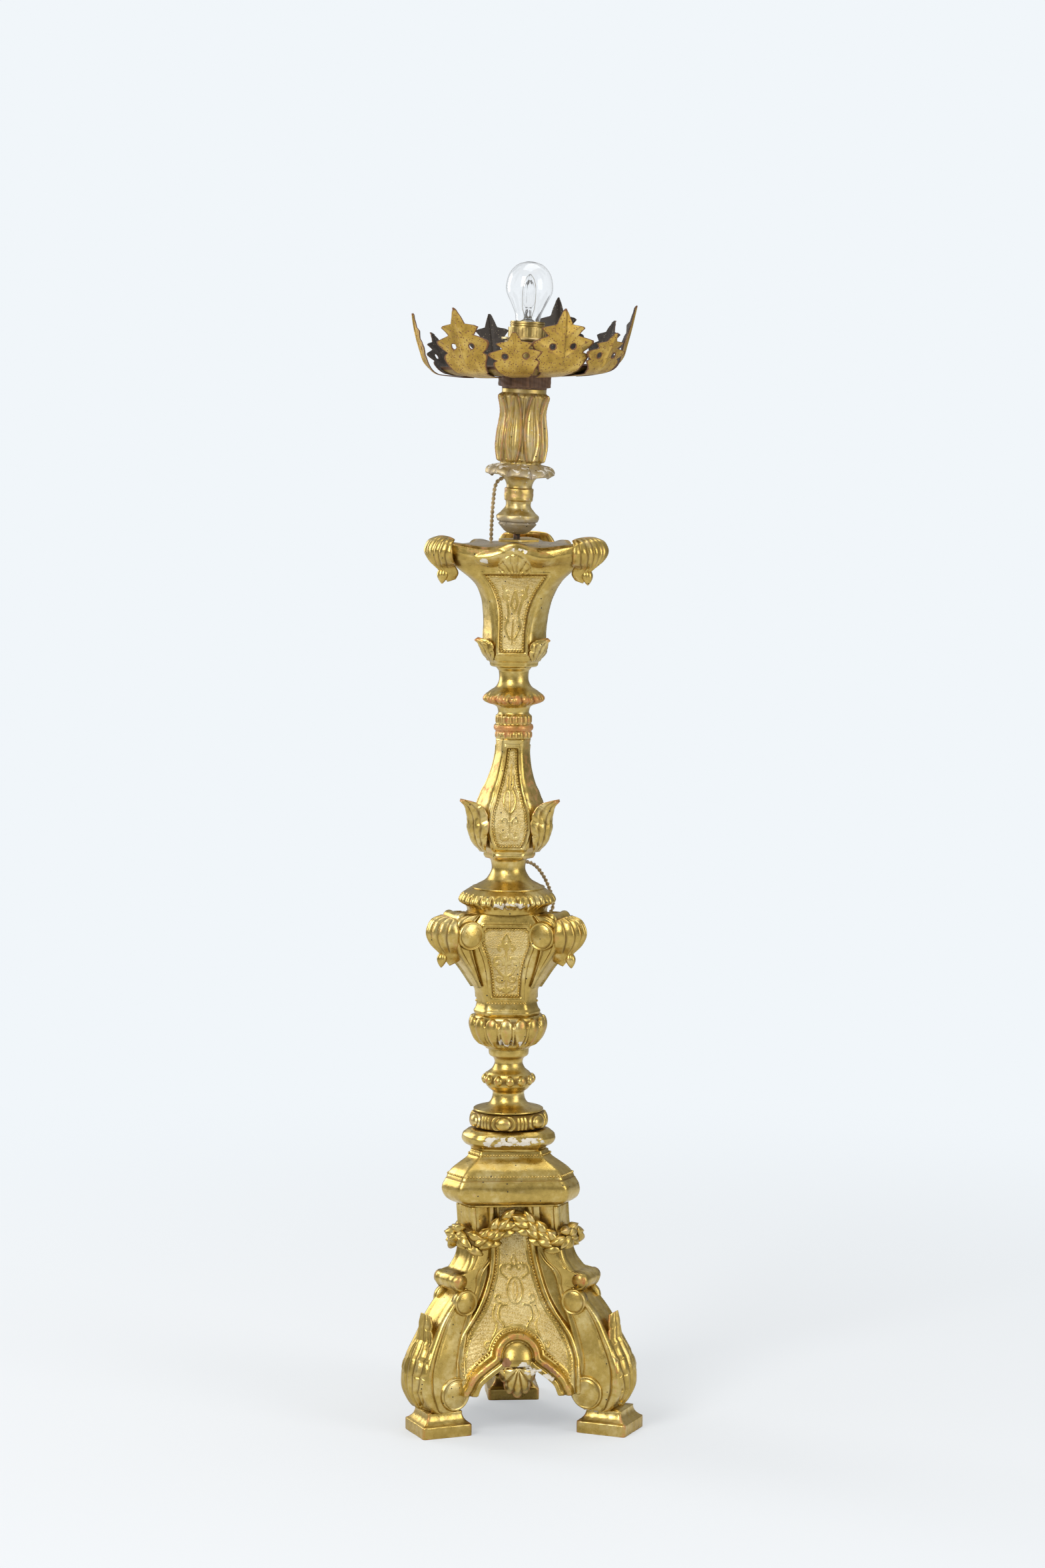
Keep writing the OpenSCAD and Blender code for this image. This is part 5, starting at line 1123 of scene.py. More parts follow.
def bodyGrid(outer, inner, halfOf, side=28, front=12):
    # rings round an S-scroll: its front edge, one flank, its back and the other flank
    t, u, back = np.linspace(0, 1, side)[None, :], across(front)[:, 1:-1], -across(8)[:, 1:-1]
    x, z = outer[:, :1], outer[:, 1:]
    xIn, zIn = inner[:, :1], inner[:, 1:]
    w, wIn = flow(halfOf, z), flow(halfOf, zIn)
    lift = (2.6 * ridge(t, 0.08, 0.075, 4) - 1.6 * ridge(t, 0.2, 0.03) - 1.2 * ridge(t, 0.82, 0.03)
            + 1.6 * ridge(t, 0.93, 0.06, 4) + 0.5 * np.sin(pi * t))
    flank = xyz(x + (xIn - x) * t, w + (wIn - w) * t + lift, z + (zIn - z) * t)
    rise = 1.6 * ridge(np.abs(u), 0.86, 0.1) + 1.0 * (1 - u ** 2) - 0.8 * ridge(np.abs(u), 0.66, 0.06)
    tangent = tangents(outer)
    edge = xyz(x + tangent[:, 1:] * rise, w * u, z - tangent[:, :1] * rise)
    rows = np.zeros((len(outer), 1))
    grid = join([edge, flank, xyz(xIn, wIn * back, zIn), flank[:, ::-1] * [1, -1, 1]], 1)
    grooves = ridge(t, 0.17, 0.03) + 0.8 * ridge(t, 0.84, 0.035) + rows
    raised = ridge(t, 0.06, 0.06) * 0.7 + rows
    recess = join([0 * u + rows, grooves, 0 * back + rows, grooves[:, ::-1]], 1)
    return grid, {"recess": recess, "edge": join([0.5 + 0 * u + rows, raised, 0 * back + rows, raised[:, ::-1]], 1)}


def makeLeg(i):
    # an S-scroll between two outlines, with a button on each flank of both rolls and a rod through the upper one
    where, cut = baseCorner(i), 10
    lower, upper = 130, 110
    outer = join([resample(smoothLine(legFoot, 8), lower), resample(smoothLine([legFoot[-1]] + legHead, 8), upper)[1:]])
    inner = join([resample(smoothLine(legInside[:cut + 1], 8), lower), resample(smoothLine(legInside[cut:], 8), upper)[1:]])
    grid, marks = bodyGrid(outer, inner, legWidth)
    parts = [capped(placed(grid, where), marks)]
    for x, z, radius, half, hand in volutes:
        parts += [moved(voluteDisc(x, z, radius, half - 1, side, hand), lambda p: placed(p, where, z)) for side in (-1, 1)]
    # the rolled end of the upper scroll stands out on both sides
    y = np.linspace(-1, 1, 9)
    roll = tubeAlong(xyz(f - 24.5, 22.5 * y, curlZ - 0.5), 7.6 + y ** 2, 24, {"edge": 0.85})
    makePiece(f"console{i}", parts + [moved(roll, lambda p: placed(p, where, curlZ))], gilt, [f"leg_{i}"])


def lobedWidth(s, lobes, cut=0.16):
    # the half width swells and is nicked between lobes
    saw = (s * lobes - 1.15) % 1
    return 1 - cut * (1 - step(saw, 0, 0.35)) * (s < 0.93) - 0.04 * step(saw, 0.7, 1)


leafHalf = [[0, 0.5], [0.2, 0.8], [0.42, 1.08], [0.62, 0.98], [0.8, 0.62], [0.93, 0.5], [1, 0.36]]


def makeLegLeaf(i):
    # a thick leaf laid on the console's front, ribbed along its length, whose tip curls outwards
    line = resample(smoothLine(legFoot, 8), 180)[12:136]
    s, q = rising(len(line)), across(47)
    out, along = tangents(line)[:, 1:], tangents(line)[:, :1]
    width = 25.5 * flow(leafHalf, s) * lobedWidth(s, 6)
    ribs = np.abs(np.cos(pi * 2.5 * q * (1 - 0.3 * s))) ** 0.75
    relief = (ribs - 1) * 3.4 * (1 - 0.4 * s) + ridge(q, 0, 0.1) * 0.8
    curl = clip01(s - 0.74) * 52
    thick = 10 * (0.5 + 0.5 * np.sin(pi * np.minimum(1, s * 1.05)))
    wrap = np.abs(q) ** 3 * 5.0
    reach = 0.6 + curl + thick * (0.72 - 0.3 * np.abs(q) ** 2.5) + relief * step(1 - np.abs(q), 0, 0.12) - wrap
    under = np.minimum(reach - 1.8, curl + 0.3 - wrap * 0.9)
    front, back = (xyz(line[:, :1] + out * far, q * width * share, line[:, 1:] - along * far)
                   for far, share in ((reach, 1), (under, 0.97)))
    marks = {"recess": (1 - ribs) * 0.9, "edge": clip01(step(np.abs(q), 0.85, 1.0) * 0.5 + step(s, 0.9, 1) * 0.35 + 0.2 * ribs)}
    leaf = moved(slab(front, back, marks), lambda p: placed(p, baseCorner(i)))
    makePiece(f"consoleLeaf{i}", [leaf], giltWorn if i == 2 else gilt, [f"leg_leaf_{i}"])


panelFace = smoothLine([[36, 266], [36, 224], [38, 204], [45, 174], [56, 141], [67, 116], [77, 91], [82, 71], [84, 53], [84, 42]], 8)
archEdge = smoothLine([[47, 48], [42, 60], [30, 71], [18, 80], [15, 83]], 8)
# half widths by height: the board, the punched ground, and the plain border
boardHalf = np.array([[47, 84.5], [88, 79.5], [211, 38], [266, 38]])
fieldHalf = [[52, 61], [84, 63], [110, 57], [128, 47], [140, 39], [152, 32.5], [166, 27.5], [182, 23], [200, 19.5], [226, 17]]
borderHalf = [[47, 76], [84, 76], [112, 68.5], [128, 59], [142, 49.5], [156, 42], [170, 36.5], [190, 31], [210, 28], [266, 26]]
crown = {"height": 93, "boss": 18.2, "roll": 23.5, "pearls": 31.5}


def archLine():
    # the lower edge of a board from its left foot over the arch to its right foot
    left = join([[[-84.5, 47], [-49, 47]], archEdge * [-1, 1], [[0, 83.4]]])
    return join([left, left[-2::-1] * [-1, 1]])


def panelMotif(u, z):
    # an upright oval between paired acanthus stems, with a crown of scrolls
    a = np.linspace(0, 2 * pi, 17)
    ring = lambda wide, high: np.stack([wide * np.cos(a), 166 + high * np.sin(a)], 1)
    return strokes(u, z, 0, [
        (smoothLine(ring(9, 15), 3), 1.5), (ring(2.6, 11), 0.8),
        (smoothLine([[10, 150], [18, 148], [20, 136], [14, 126], [17, 114]], 5), 2.0),
        (curlLine(19, 158, 6, 0.9, pi * 1.4), 1.8), (smoothLine([[9, 180], [16, 186], [15, 194], [8, 196]], 5), 1.8),
        (curlLine(6, 192, 5.5, 0.9, 0), 1.6), (smoothLine([[24, 150], [27, 138], [23, 126], [29, 112]], 5), 1.5),
        (curlLine(34, 104, 6.5, 0.8, pi * 0.8, -1), 1.5), (smoothLine([[0, 206], [3, 200], [0, 192]], 3), 1.3)])


def panelSurface(u, z):
    # front of a board: its side view, hollowed a little in plan towards the consoles
    hollow = 9.5 * np.clip(np.abs(u) / 66, 0, 1.2) ** 2.2 * step(-z, -190, -90)
    return np.interp(-z, -panelFace[:, 1], panelFace[:, 0]) - hollow


def panelPearls():
    # pearls along both edges of the plain border, over the arch and down its wings, as [across, height]
    rowsZ = np.arange(118, 226, 3.7)
    low = resample(smoothLine([[62, 62], [64.5, 84], [60, 103], [54, 117]], 4), 14)
    side = join([low, np.stack([flow(fieldHalf, rowsZ) + 1.2, rowsZ], 1)])
    a = np.linspace(0.12 * pi, 0.88 * pi, 22)
    over = np.stack([crown["pearls"] * np.cos(a), crown["height"] + crown["pearls"] * np.sin(a)], 1)
    wing = resample(smoothLine([[31, 101], [40, 93], [50, 82], [60, 63]], 4), 13)
    spots = join([side, side * [-1, 1], over, wing, wing * [-1, 1]])
    return spots[spots[:, 1] > 60].T


def makePanel(i):
    # a board fanned out between its arched foot and its neck, with its mouldings laid on by distance from lines
    columns, where = 184, baseFace(i)
    footU, footZ = resample(archLine(), columns).T[:, None, :]
    t, v = rising(132), across(columns)
    z = footZ + (base["top"] - footZ) * t
    limit = np.interp(z, *boardHalf.T)
    share = footU / np.interp(footZ, *boardHalf.T)
    u = limit * (share + (v - share) * step(t, 0, 0.85))
    band = np.minimum(nearLine(u, z, archLine()[1:-1]), 99)
    fromCrown = np.hypot(u, z - crown["height"])
    # a hollow along the arch, then a raised roll that climbs round the crown in a half ring
    roll = np.maximum(ridge(band, 12.5, 4.6, 4) * (fromCrown > 22), ridge(fromCrown, crown["roll"], 4.9, 4) * (z > 90)) * 6.5
    boss = dome((fromCrown / crown["boss"]) ** 2) * 9.5 * (z > 80)
    lip = (1 - step(band, 4.5, 8.0)) * 3.6 * (np.abs(u) < 56)
    d = flow(borderHalf, z) - np.abs(u)
    frame = ridge(d, 3.6, 3.6, 4) * 4.6
    field = np.minimum(np.minimum(flow(fieldHalf, z) - np.abs(u), band - 20), np.maximum(fromCrown - 32, 0) + (z > 150) * 50)
    inside = step(field, 0, 1.2)
    drawn = panelMotif(u, z) * (field > 3)
    push = np.maximum(np.maximum(np.maximum(roll, lip), boss), frame * (band > 14) * (fromCrown > 27))
    push = push - inside * 1.8 + drawn * 0.7 * inside
    flat = panelSurface(u, z)
    recess = ridge(d, 8.2, 1.2) + ridge(d, -0.8, 1.3) + ridge(band, 7.2, 1.2) + ridge(fromCrown, 18.6, 1.2) * (z > 80)
    marks = {"punch": step(field, 3.2, 4.2) * (1 - drawn), "recess": clip01(recess) * 0.9,
             "edge": clip01(np.maximum(roll, frame) / 4 * 0.55 + (band < 2) * 0.6), "wood": 0.0}
    behind = {"punch": 0.0, "recess": 0.6, "edge": 0.0, "wood": 2.0}
    board = slab(xyz(flat + push, u + base["archMid"], z), xyz(flat - base["panel"], u + base["archMid"], z), marks, behind)
    u, z = panelPearls()
    beads = scatter(pearl, xyz(panelSurface(u, z) + 0.2, u + base["archMid"], z), 1.55, marks={"edge": 0.4})
    makePiece(f"basePanel{i}", [moved(part, lambda p: placed(p, where)) for part in (board, beads)], gilt, [f"base_panel_{i}"])


def makePendant(i):
    # a five-lobed scallop hung from two small side curls
    rho, t = np.linspace(0.02, 1, 22)[:, None], np.linspace(0.02, 0.98, 121)[None, :]
    b, lobe = pi * (1 + t), np.abs(np.sin(5 * pi * t))
    radius = 1 - 0.15 * (1 - lobe ** 0.6)
    x = base["archMid"] + 22.5 * np.cos(b) * radius * rho
    z = 81 + 38 * np.sin(b) * radius * rho
    swell = 10.5 * np.sin(clip01(1.12 - rho) * pi / 2) ** 0.6 * step(1.04 - rho, 0, 0.3)
    swell = swell + 2.6 * lobe ** 0.7 * np.sin(pi * rho ** 0.8) * (rho > 0.1)
    parts = [slab(xyz(73.5 + swell, x, z), xyz(71.5, x, z), {"recess": 1 - lobe ** 0.5, "edge": step(rho, 0.8, 1)})]
    t = np.linspace(0, 2.6 * pi, 44)
    r = 7.0 * (1 - t / (3.2 * pi))
    for side in (-1, 1):
        curl = xyz(80.0, base["archMid"] + side * (12.5 + r * np.cos(t)), 79 - r * np.sin(t))
        parts.append(tubeAlong(curl, np.linspace(3.6, 1.6, 44), 12, {"edge": 0.7}))
    parts = [moved(part, lambda p: placed(p, baseFace(i), 80)) for part in parts]
    makePiece(f"scallopDrop{i}", parts, gilt, [f"panel_shell_{i}"])


def leafMesh():
    # a small pointed laurel leaf, one long and half as wide, ridged along its middle
    s, q = rising(9), across(7)
    x, y = s - 0.5, q * (0.29 * np.sin(pi * s ** 0.8) ** 0.9 + 0.004)
    z = 0.2 * np.sin(pi * s) * (1 - q ** 2) + 0.05 * ridge(q, 0, 0.2) * (s < 0.95) - 0.03 * np.abs(np.sin(6 * pi * s)) * np.abs(q)
    return slab(xyz(x, y, z + 0.05), xyz(x, y, -0.06))


# a third of the garland as [out, across, drop below the base's top]; leaves repeat their tilt and place in fours
garland = {"third": [[35.5, -61.5, 35], [47, -55, 37], [50, -46, 42], [44.5, -30, 35], [42, 0, 15], [44.5, 30, 35], [50, 46, 42],
                     [47, 55, 37], [35.5, 61.5, 35]],
           "points": 420, "tilt": [0.3, -0.3, 0.1, -0.1], "face": [0.65, -0.65, 0.2, -0.2], "out": [4.6, 4.6, 7.8, 7.8],
           "up": [8.6, -8.6, 3.0, -3.0], "leaf": 22}


def makeGarland():
    # an oval core along the swag, leaves in fours that lean in turn, and berries at the corners
    q = smoothLine(garland["third"], 8)[:-1] * [1, 1, -1] + [1.0, 0, base["top"]]
    line = join([placed(q, baseFace(k), 236) for k in (1, 2, 3)])
    n = garland["points"]
    line = resample(join([line, line[:1]]), n + 1)[:-1]
    tangent = unit(np.roll(line, -1, 0) - np.roll(line, 1, 0))
    out = unit(np.cross(tangent, [[0, 0, 1.0]]))
    out = out * np.sign(out[0] @ line[0])
    top = np.cross(out, tangent)
    parts = [looped(ringsOn(line, 1.0, 14, out * 7.0, top * 11.0), {"recess": 0.9})]
    spots, axes, size = [], [], []
    for k in range(0, n, 4):
        j = (k // 4) % 4
        tilt = garland["tilt"][j] + rng.normal(0, 0.08)
        way = -1 if (k // 70) % 2 else 1
        along = unit(way * tangent[k] * math.cos(tilt) + top[k] * math.sin(tilt))
        face = out[k] + top[k] * garland["face"][j]
        face = unit(face - along * (face @ along))
        spots.append(line[k] + out[k] * garland["out"][j] + top[k] * garland["up"][j])
        axes.append(np.stack([along, np.cross(face, along), face], 1))
        size.append(garland["leaf"] + rng.normal(0, 1.2))
    leaf = leafMesh()
    marks = {"edge": np.tile(clip01(np.minimum(leaf[0][:, 2] * 5, 0.6)), len(spots))}
    parts.append(scatter(leaf, np.array(spots), size, np.array(axes), marks))
    # six berries round a seventh at each corner
    t, r = np.arange(7) * pi / 3, np.array([5.6] * 6 + [0.0])
    berries = xyz(postR + 7.5 - r * 0.25, r * np.cos(t), 229 + r * np.sin(t))
    berries = join([placed(berries, baseCorner(i), 236) for i in (1, 2, 3)])
    parts.append(scatter(ballMesh(10, 6), berries, 4.4, marks={"edge": 0.4}))
    makePiece("laurelGarland", parts, gilt, ["garland"])


cornice = {"face": 59, "corner": 84.5, "high": 64, "hardness": 46, "pearls": ((303.2, 0.905, 3.6), (325.5, 0.59, 3.4))}


def corniceRelief(a, z, face):
    # a slight unevenness, dirt and painted shade in the two quirks and rubbing on the roll
    return 0.25 * np.sin(5 * a + z * 0.3), {"recess": 0.9 * ridge(z, 298.4, 1.3) + 0.6 * ridge(z, 269.5, 1.5),
                                            "edge": 0.5 * ridge(z, 284, 9)}


def makeCornice():
    # a moulded line carried round three faces with cut corners, and two rows of pearls
    line = join([[[0.8, 0], [0.8, 0.035]],
                 smoothLine([[0.86, 0.05], [0.9, 0.07], [0.965, 0.14], [1, 0.26], [0.995, 0.38], [0.955, 0.47]], 6),
                 [[0.948, 0.49], [0.93, 0.505]],
                 smoothLine([[0.925, 0.53], [0.905, 0.58], [0.84, 0.68], [0.73, 0.78], [0.62, 0.87], [0.575, 0.95], [0.565, 1]], 6)])
    share, high = line.T
    rows = np.stack([base["top"] + high * cornice["high"], share * cornice["face"], share * cornice["corner"]], 1)
    turn = math.radians(base["turn"])
    grid, marks = loftGrid(rows, 360, 80, corniceRelief, turn, cornice["hardness"])
    beads, a = [], np.linspace(0, 2 * pi, 1200)
    for z, share, pitch in cornice["pearls"]:
        r = outlineR(a, share * cornice["face"], share * cornice["corner"], cornice["hardness"]) + 0.35
        loop = xyz(r * np.cos(a + turn) + float(sway(z)), r * np.sin(a + turn), z)
        beads.append(resample(loop, int(lengthOf(loop) / pitch))[:-1])
    bodyPiece("corniceMoulding", "base_cornice", grid, marks, [scatter(pearl, join(beads), 1.4, marks={"edge": 0.35})])


for number in (1, 2, 3):
    for makeOne in (makePlinth, makeLeg, makeLegLeaf, makePanel, makePendant):
        makeOne(number)
makeGarland()
makeCornice()
print("base done")


# corner scrolls of the lower capital as [distance out, height]
lowerScroll = {"lip": 595.78, "rows": 96, "width": [[524, 12], [545, 15.5], [575, 18], [612, 18]],
               "front": [[41.2, 524.8], [47.05, 533.8], [55.05, 545.8], [65.05, 558.8], [75.05, 573.8], [79.05, 591.8],
                         [76.05, 605.8], [66.05, 611.8], [54.2, 612]],
               "back": [[40.2, 525], [44.3, 534.3], [48.2, 544.1], [51.6, 554], [54.6, 563.8], [56.8, 573.6], [58.1, 583.5],
                        [58.1, 599.5], [53.8, 604.4], [47.3, 612.6]]}
lip0 = lowerScroll["lip"]


def makeLowerScroll(i):
    # an S-scroll with a button on each flank and a roll on top that is nipped at its middle
    outer, inner = (resample(smoothLine(lowerScroll[key], 8), lowerScroll["rows"]) for key in ("front", "back"))
    parts = [capped(*bodyGrid(outer, inner, lowerScroll["width"], 30, 14))]
    parts += [voluteDisc(60, lip0 - 7, 17.5, 19.5, side, 1) for side in (-1, 1)]
    t = np.linspace(-1, 1, 25)
    parts.append(tubeAlong(xyz(69.0, 17 * t, lip0 + 12.0), 6.6 + 1.5 * np.abs(t) ** 1.5, 26, {"edge": 0.6}))
    parts = [moved(part, lambda p: placed(p, bearingOf(i, 210), lip0)) for part in parts]
    makePiece(f"cornerScroll{i}", parts, gilt, [f"lower_scroll_{i}"])


def ribbedShell(edge, back, widths, ribs, depth=0.2, rows=62):
    # outer line and back line in the corner's plane; the section between them domes out and is ribbed across
    e, q = (resample(smoothLine(line, 8), rows)[:, None] for line in (edge, back))
    s, u = rising(rows), across(73)
    w, high = flow(widths, s), dome(0.97 * u * u)
    wave = np.abs(np.cos(pi * ribs * (u + 1) / 2)) ** 0.7
    live = step(0.8 - s, 0, 0.1) * step(s, 0.0, 0.06)
    share = high * (1 - depth * (1 - wave) * high * live)
    front = xyz(q[..., 0] + (e[..., 0] - q[..., 0]) * share, w * u * (1 + 0.05 * wave * live), q[..., 1] + (e[..., 1] - q[..., 1]) * share)
    marks = {"recess": (1 - wave) * live, "edge": step(wave, 0.75, 1) * live * step(s, 0.03, 0.2) * 0.75 + (s < 0.06) * 0.8}
    return slab(front, xyz(q[..., 0], w * u, q[..., 1]), marks)


def budDrop(x, z, size, long):
    # a hanging bud: three leaves folded to a point
    t, a = rising(26), bearings(48)[None, :]
    r = size * (np.sin(pi * clip01(t * 0.93 + 0.05)) ** 0.75) * (1 - 0.35 * t)
    r = r * (0.84 + 0.16 * np.abs(np.cos(1.5 * a)) ** 0.6)
    return capped(xyz(x + r * np.cos(a) + 2.2 * t, r * np.sin(a) * 0.95, z + long * (0.5 - t)), {"edge": 0.55})


def leafRelief(q, s, lobes, depth):
    # a middle rib, and veins that run out and up to each lobe of the edge
    vein = np.abs(np.sin(pi * (s * lobes - np.abs(q) * 1.15))) ** 0.55
    sides = step(np.abs(q), 0.08, 0.3) * (0.35 + 0.65 * np.abs(q))
    return (vein - 1) * depth * sides + ridge(q, 0, 0.1) * 1.2, 1 - vein


def cornerLeaf(edge, back, half, widths, lobes, rows=64):
    # a cupped leaf: longitudinal ribs that close towards its tip, and a nicked edge
    e, q0 = (resample(smoothLine(line, 8), rows)[:, None] for line in (edge, back))
    s, q = rising(rows), across(53)
    w = half * flow(widths, s) * lobedWidth(s, lobes, 0.12)
    wave = np.abs(np.cos(pi * 2.5 * q * (1 - 0.25 * s))) ** 0.8
    vein, hollow = leafRelief(q, s, lobes, 1.2)
    d = e - q0
    body = (1 - np.abs(q) ** 3.2) * (0.86 + 0.14 * wave) + 0.05 * ridge(q, 0, 0.08)
    body = body + vein / np.maximum(np.linalg.norm(d, axis=-1), 4) * (1 - np.abs(q) ** 6)
    lift = np.clip(body, 0.02, 1.1)
    front = xyz(q0[..., 0] + d[..., 0] * lift, w * q, q0[..., 1] + d[..., 1] * lift)
    rubbed = step(s, 0.82, 1) * 0.9 + step(np.abs(q), 0.85, 1) * 0.7 + 0.2 * wave
    marks = {"recess": clip01((1 - wave) * 0.8 + hollow * 0.4), "edge": clip01(rubbed)}
    return slab(front, xyz(q0[..., 0], w * q * 0.96, q0[..., 1]), marks)


def atCorners(name, node, shapes, swayAt, turn=0.0, corners=(1, 2, 3)):
    # the same shapes at each corner of the column, in one piece
    parts = [moved(shape, lambda p: placed(p, bearingOf(i, 210, turn), swayAt)) for i in corners for shape in shapes]
    makePiece(name, parts, gilt, [node])


def makeOrnaments():
    # scrolls and shells of the lower capital, lip shells of the bell, and the leaves of pear and bell
    for i in (1, 2, 3):
        makeLowerScroll(i)
    c = 58.05
    edge = [[c + 27, lip0 + 17], [99.5, lip0 + 12], [106.5, lip0 - 3], [101.5, lip0 - 17], [c + 31, lip0 - 30], [c + 19, lip0 - 44]]
    back = [[c + 17.2, lip0 + 11], [c + 17.2, lip0 + 5], [c + 16.7, lip0 - 4], [c + 15.7, lip0 - 17], [c + 11.7, lip0 - 28],
            [c + 4.7, lip0 - 38]]
    shell = ribbedShell(edge, back, [[0, 18], [0.3, 22.5], [0.55, 19], [0.74, 11], [0.85, 8], [1, 2]], 6)
    atCorners("cornerShells", "lower_shells", [shell, budDrop(86, 560, 7.5, 19)], lip0)
    z, c, reach = 1049, 98, 115.5
    edge = [[c - 2, z + 8], [reach - 8, z + 5], [reach - 1, z - 4], [reach, z - 13], [reach - 5, z - 24], [reach - 14, z - 33],
            [reach - 20, z - 40], [reach - 24, z - 46]]
    back = [[c - 4, z + 4], [c + 1, z - 3], [c + 1.2, z - 8], [c + 1, z - 14], [c - 3, z - 21], [c - 13, z - 29], [c - 17, z - 36],
            [c - 16, z - 43]]
    shell = ribbedShell(edge, back, [[0, 27], [0.3, 33], [0.55, 25], [0.7, 12], [0.85, 9], [1, 3]], 7)
    for i in (1, 2, 3):
        atCorners(f"lipShell{i}", f"upper_shell_{i}", [shell, budDrop(96, z - 38, 8.5, 20)], z, bellTurn, (i,))
    k, reach, b = 1.16 * 35.5 + 0.1, 66, 676
    edge = [[k - 4, b + 9], [reach - 19, b + 19], [reach - 13, b + 34], [reach - 12, b + 49], [reach - 7, b + 62], [reach, b + 69]]
    back = [[k - 5.5, b + 8], [k, b + 20], [k, b + 34], [k, b + 51], [k + 7, b + 66], [reach - 3, b + 72]]
    widths = [[0, 0.4], [0.25, 0.9], [0.5, 1.05], [0.75, 0.82], [0.9, 0.54], [1, 0.34]]
    atCorners("pearLeaves", "pear_leaves", [cornerLeaf(edge, back, 22, widths, 4)], b + 40)
    k, b, tip = 0.36 * 98 - 1.0, 902, 931.4
    edge = [[k - 2.5, b + 8], [k + 5, tip - 12], [k + 11, tip - 2], [k + 17, tip + 3]]
    back = [[k - 3.5, b + 7], [k, tip - 12], [k + 2, tip + 1], [k + 12, tip + 6]]
    widths = [[0, 0.5], [0.35, 0.98], [0.6, 0.92], [0.85, 0.45], [1, 0.12]]
    atCorners("bellLeaves", "capital_leaves", [cornerLeaf(edge, back, 19, widths, 3)], tip, bellTurn)
    print("ornaments done")


makeOrnaments()

# candle cup: heights of its foot, body, band and dish along its axis, the radii of ball, bore and skirt, and the dish's tilt
cup = {"foot": 6.0, "body": 59.5, "band": 175.5, "dish": 191.5, "ball": 25, "bore": 4.2, "waist": 24.3, "tilt": 3.9,
       "skirt": [[24.3, 18.5], [29, 17], [34.4, 18.5], [38.9, 15.2], [40.4, 17.5], [37.4, 22.5], [30, 26.0], [24.3, 28.6]]}


def lifted(line, height):
    # a smooth line or a plain one given from a height of its own
    return np.asarray(line, float) + [0, height]


def petalRelief(a, s, z):
    # eight long petals with raised rims and a keel, and the tips of eight more between them
    v = (z - cup["body"] - 30) / 78
    u = spans(8, a, 0.35)
    live = step(v, -0.02, 0.04) * step(1.04 - v, 0, 0.05)
    half = 0.15 + 0.3 * np.sin(pi * clip01(v) ** 0.85 * 0.93 + 0.12).clip(0) ** 0.8
    d = half - np.abs(u)
    petal = step(d, -0.01, 0.05) * 2.2 + ridge(d, 0.06, 0.04) * 1.5 - ridge(d, 0.17, 0.06) * 1.2
    keel = ridge(u, 0, 0.05) * (d > 0.08)
    lift = np.maximum(petal + keel, ridge(np.abs(u), 0.5, 0.06) * 1.5) * live
    # dirt and painted shade in the grooves beside each petal's rim
    dirtAndShade = live * ridge(d, -0.03, 0.05) + live * ridge(d, 0.17, 0.05) * 0.7
    return lift - 2.4 * live, {"recess": dirtAndShade, "edge": live * clip01(ridge(d, 0.055, 0.045) + 0.6 * keel), "dull": 0.16}


def footRelief(a, s, z):
    # a shallow turned groove round the ball, and dents of age
    z0 = cup["foot"]
    groove = ridge(z, z0 + 13.3, 1.0)
    dents = 0.35 * np.sin(5 * a + z * 0.5) * np.sin(3 * a - z * 0.23)
    return dents - 1.3 * groove, {"recess": 0.9 * groove + 0.25 * waviness(xyz(a * 20, z, z)), "edge": 0.55 * (z > z0 + 39),
                                  "dull": 0.12 + 0.3 * step(z0 + 24 - z, 0, 10)}


def turnedCup(name, node, line, columns, rows, relief):
    # a turned and carved part of the cup, bored for the rod and leaned with it
    grid, marks = turnedGrid(line, columns, rows, relief)
    makePiece(name, [moved(bored(grid, cup["bore"], marks), leaned)], giltGrey, [node])


def makeSkirt():
    # a torus of leaves: its outer half is cut into eight lobes, veined on top and sagging by a slow wave
    ring = resample(smoothLine(cup["skirt"], 8), 60)
    a = bearings(320)[None, :]
    lobe = 1 - 0.34 * (1 - np.abs(np.cos(4 * a)) ** 0.55)
    over = ring[:, :1] - cup["waist"]
    r = cup["waist"] + over * lobe + 0.4 * np.cos(16 * a) * over / 16
    top = (np.arange(60)[:, None] > 26) * clip01(over / 8)
    vein = np.abs(np.cos(4 * a)) ** 0.7
    z = cup["body"] + ring[:, 1:] - 3.0 * (1 - lobe) * over / 6 + top * (1.5 * ridge(np.sin(4 * a), 0, 0.16) - 1.2 * (1 - vein))
    z = z + 1.6 * np.sin(2 * a + 0.7) * clip01(over / 16)
    marks = {"dull": 0.3, "gesso": 0.46, "recess": (1 - vein) * top * 0.8, "edge": clip01(over / 16) * 0.5}
    makePiece("cupSkirt", [moved(looped(xyz(r * np.cos(a), r * np.sin(a), z), marks), leaned)], giltGrey, ["cup_skirt"])


def makeBand():
    # a plain collar whose top is cut to the tilt of the dish
    z0, z1 = cup["band"], cup["dish"]
    line = resample(np.array([[26.2, z0], [26.2, z0 + 1.5], [30.2, z0 + 2.2], [30.7, z0 + 3], [30.7, z1 + 4]]), 60)
    b = bearings(160)
    r = line[:, :1] + 0.12 * np.sin(9 * b + line[:, 1:])
    z = np.minimum(line[:, 1:], z1 - 0.05 + np.tan(math.radians(cup["tilt"])) * r * np.cos(b))
    makePiece("cupBand", [moved(bored(xyz(r * np.cos(b), r * np.sin(b), z), cup["bore"]), leaned)], bandWood, ["cup_collar"])


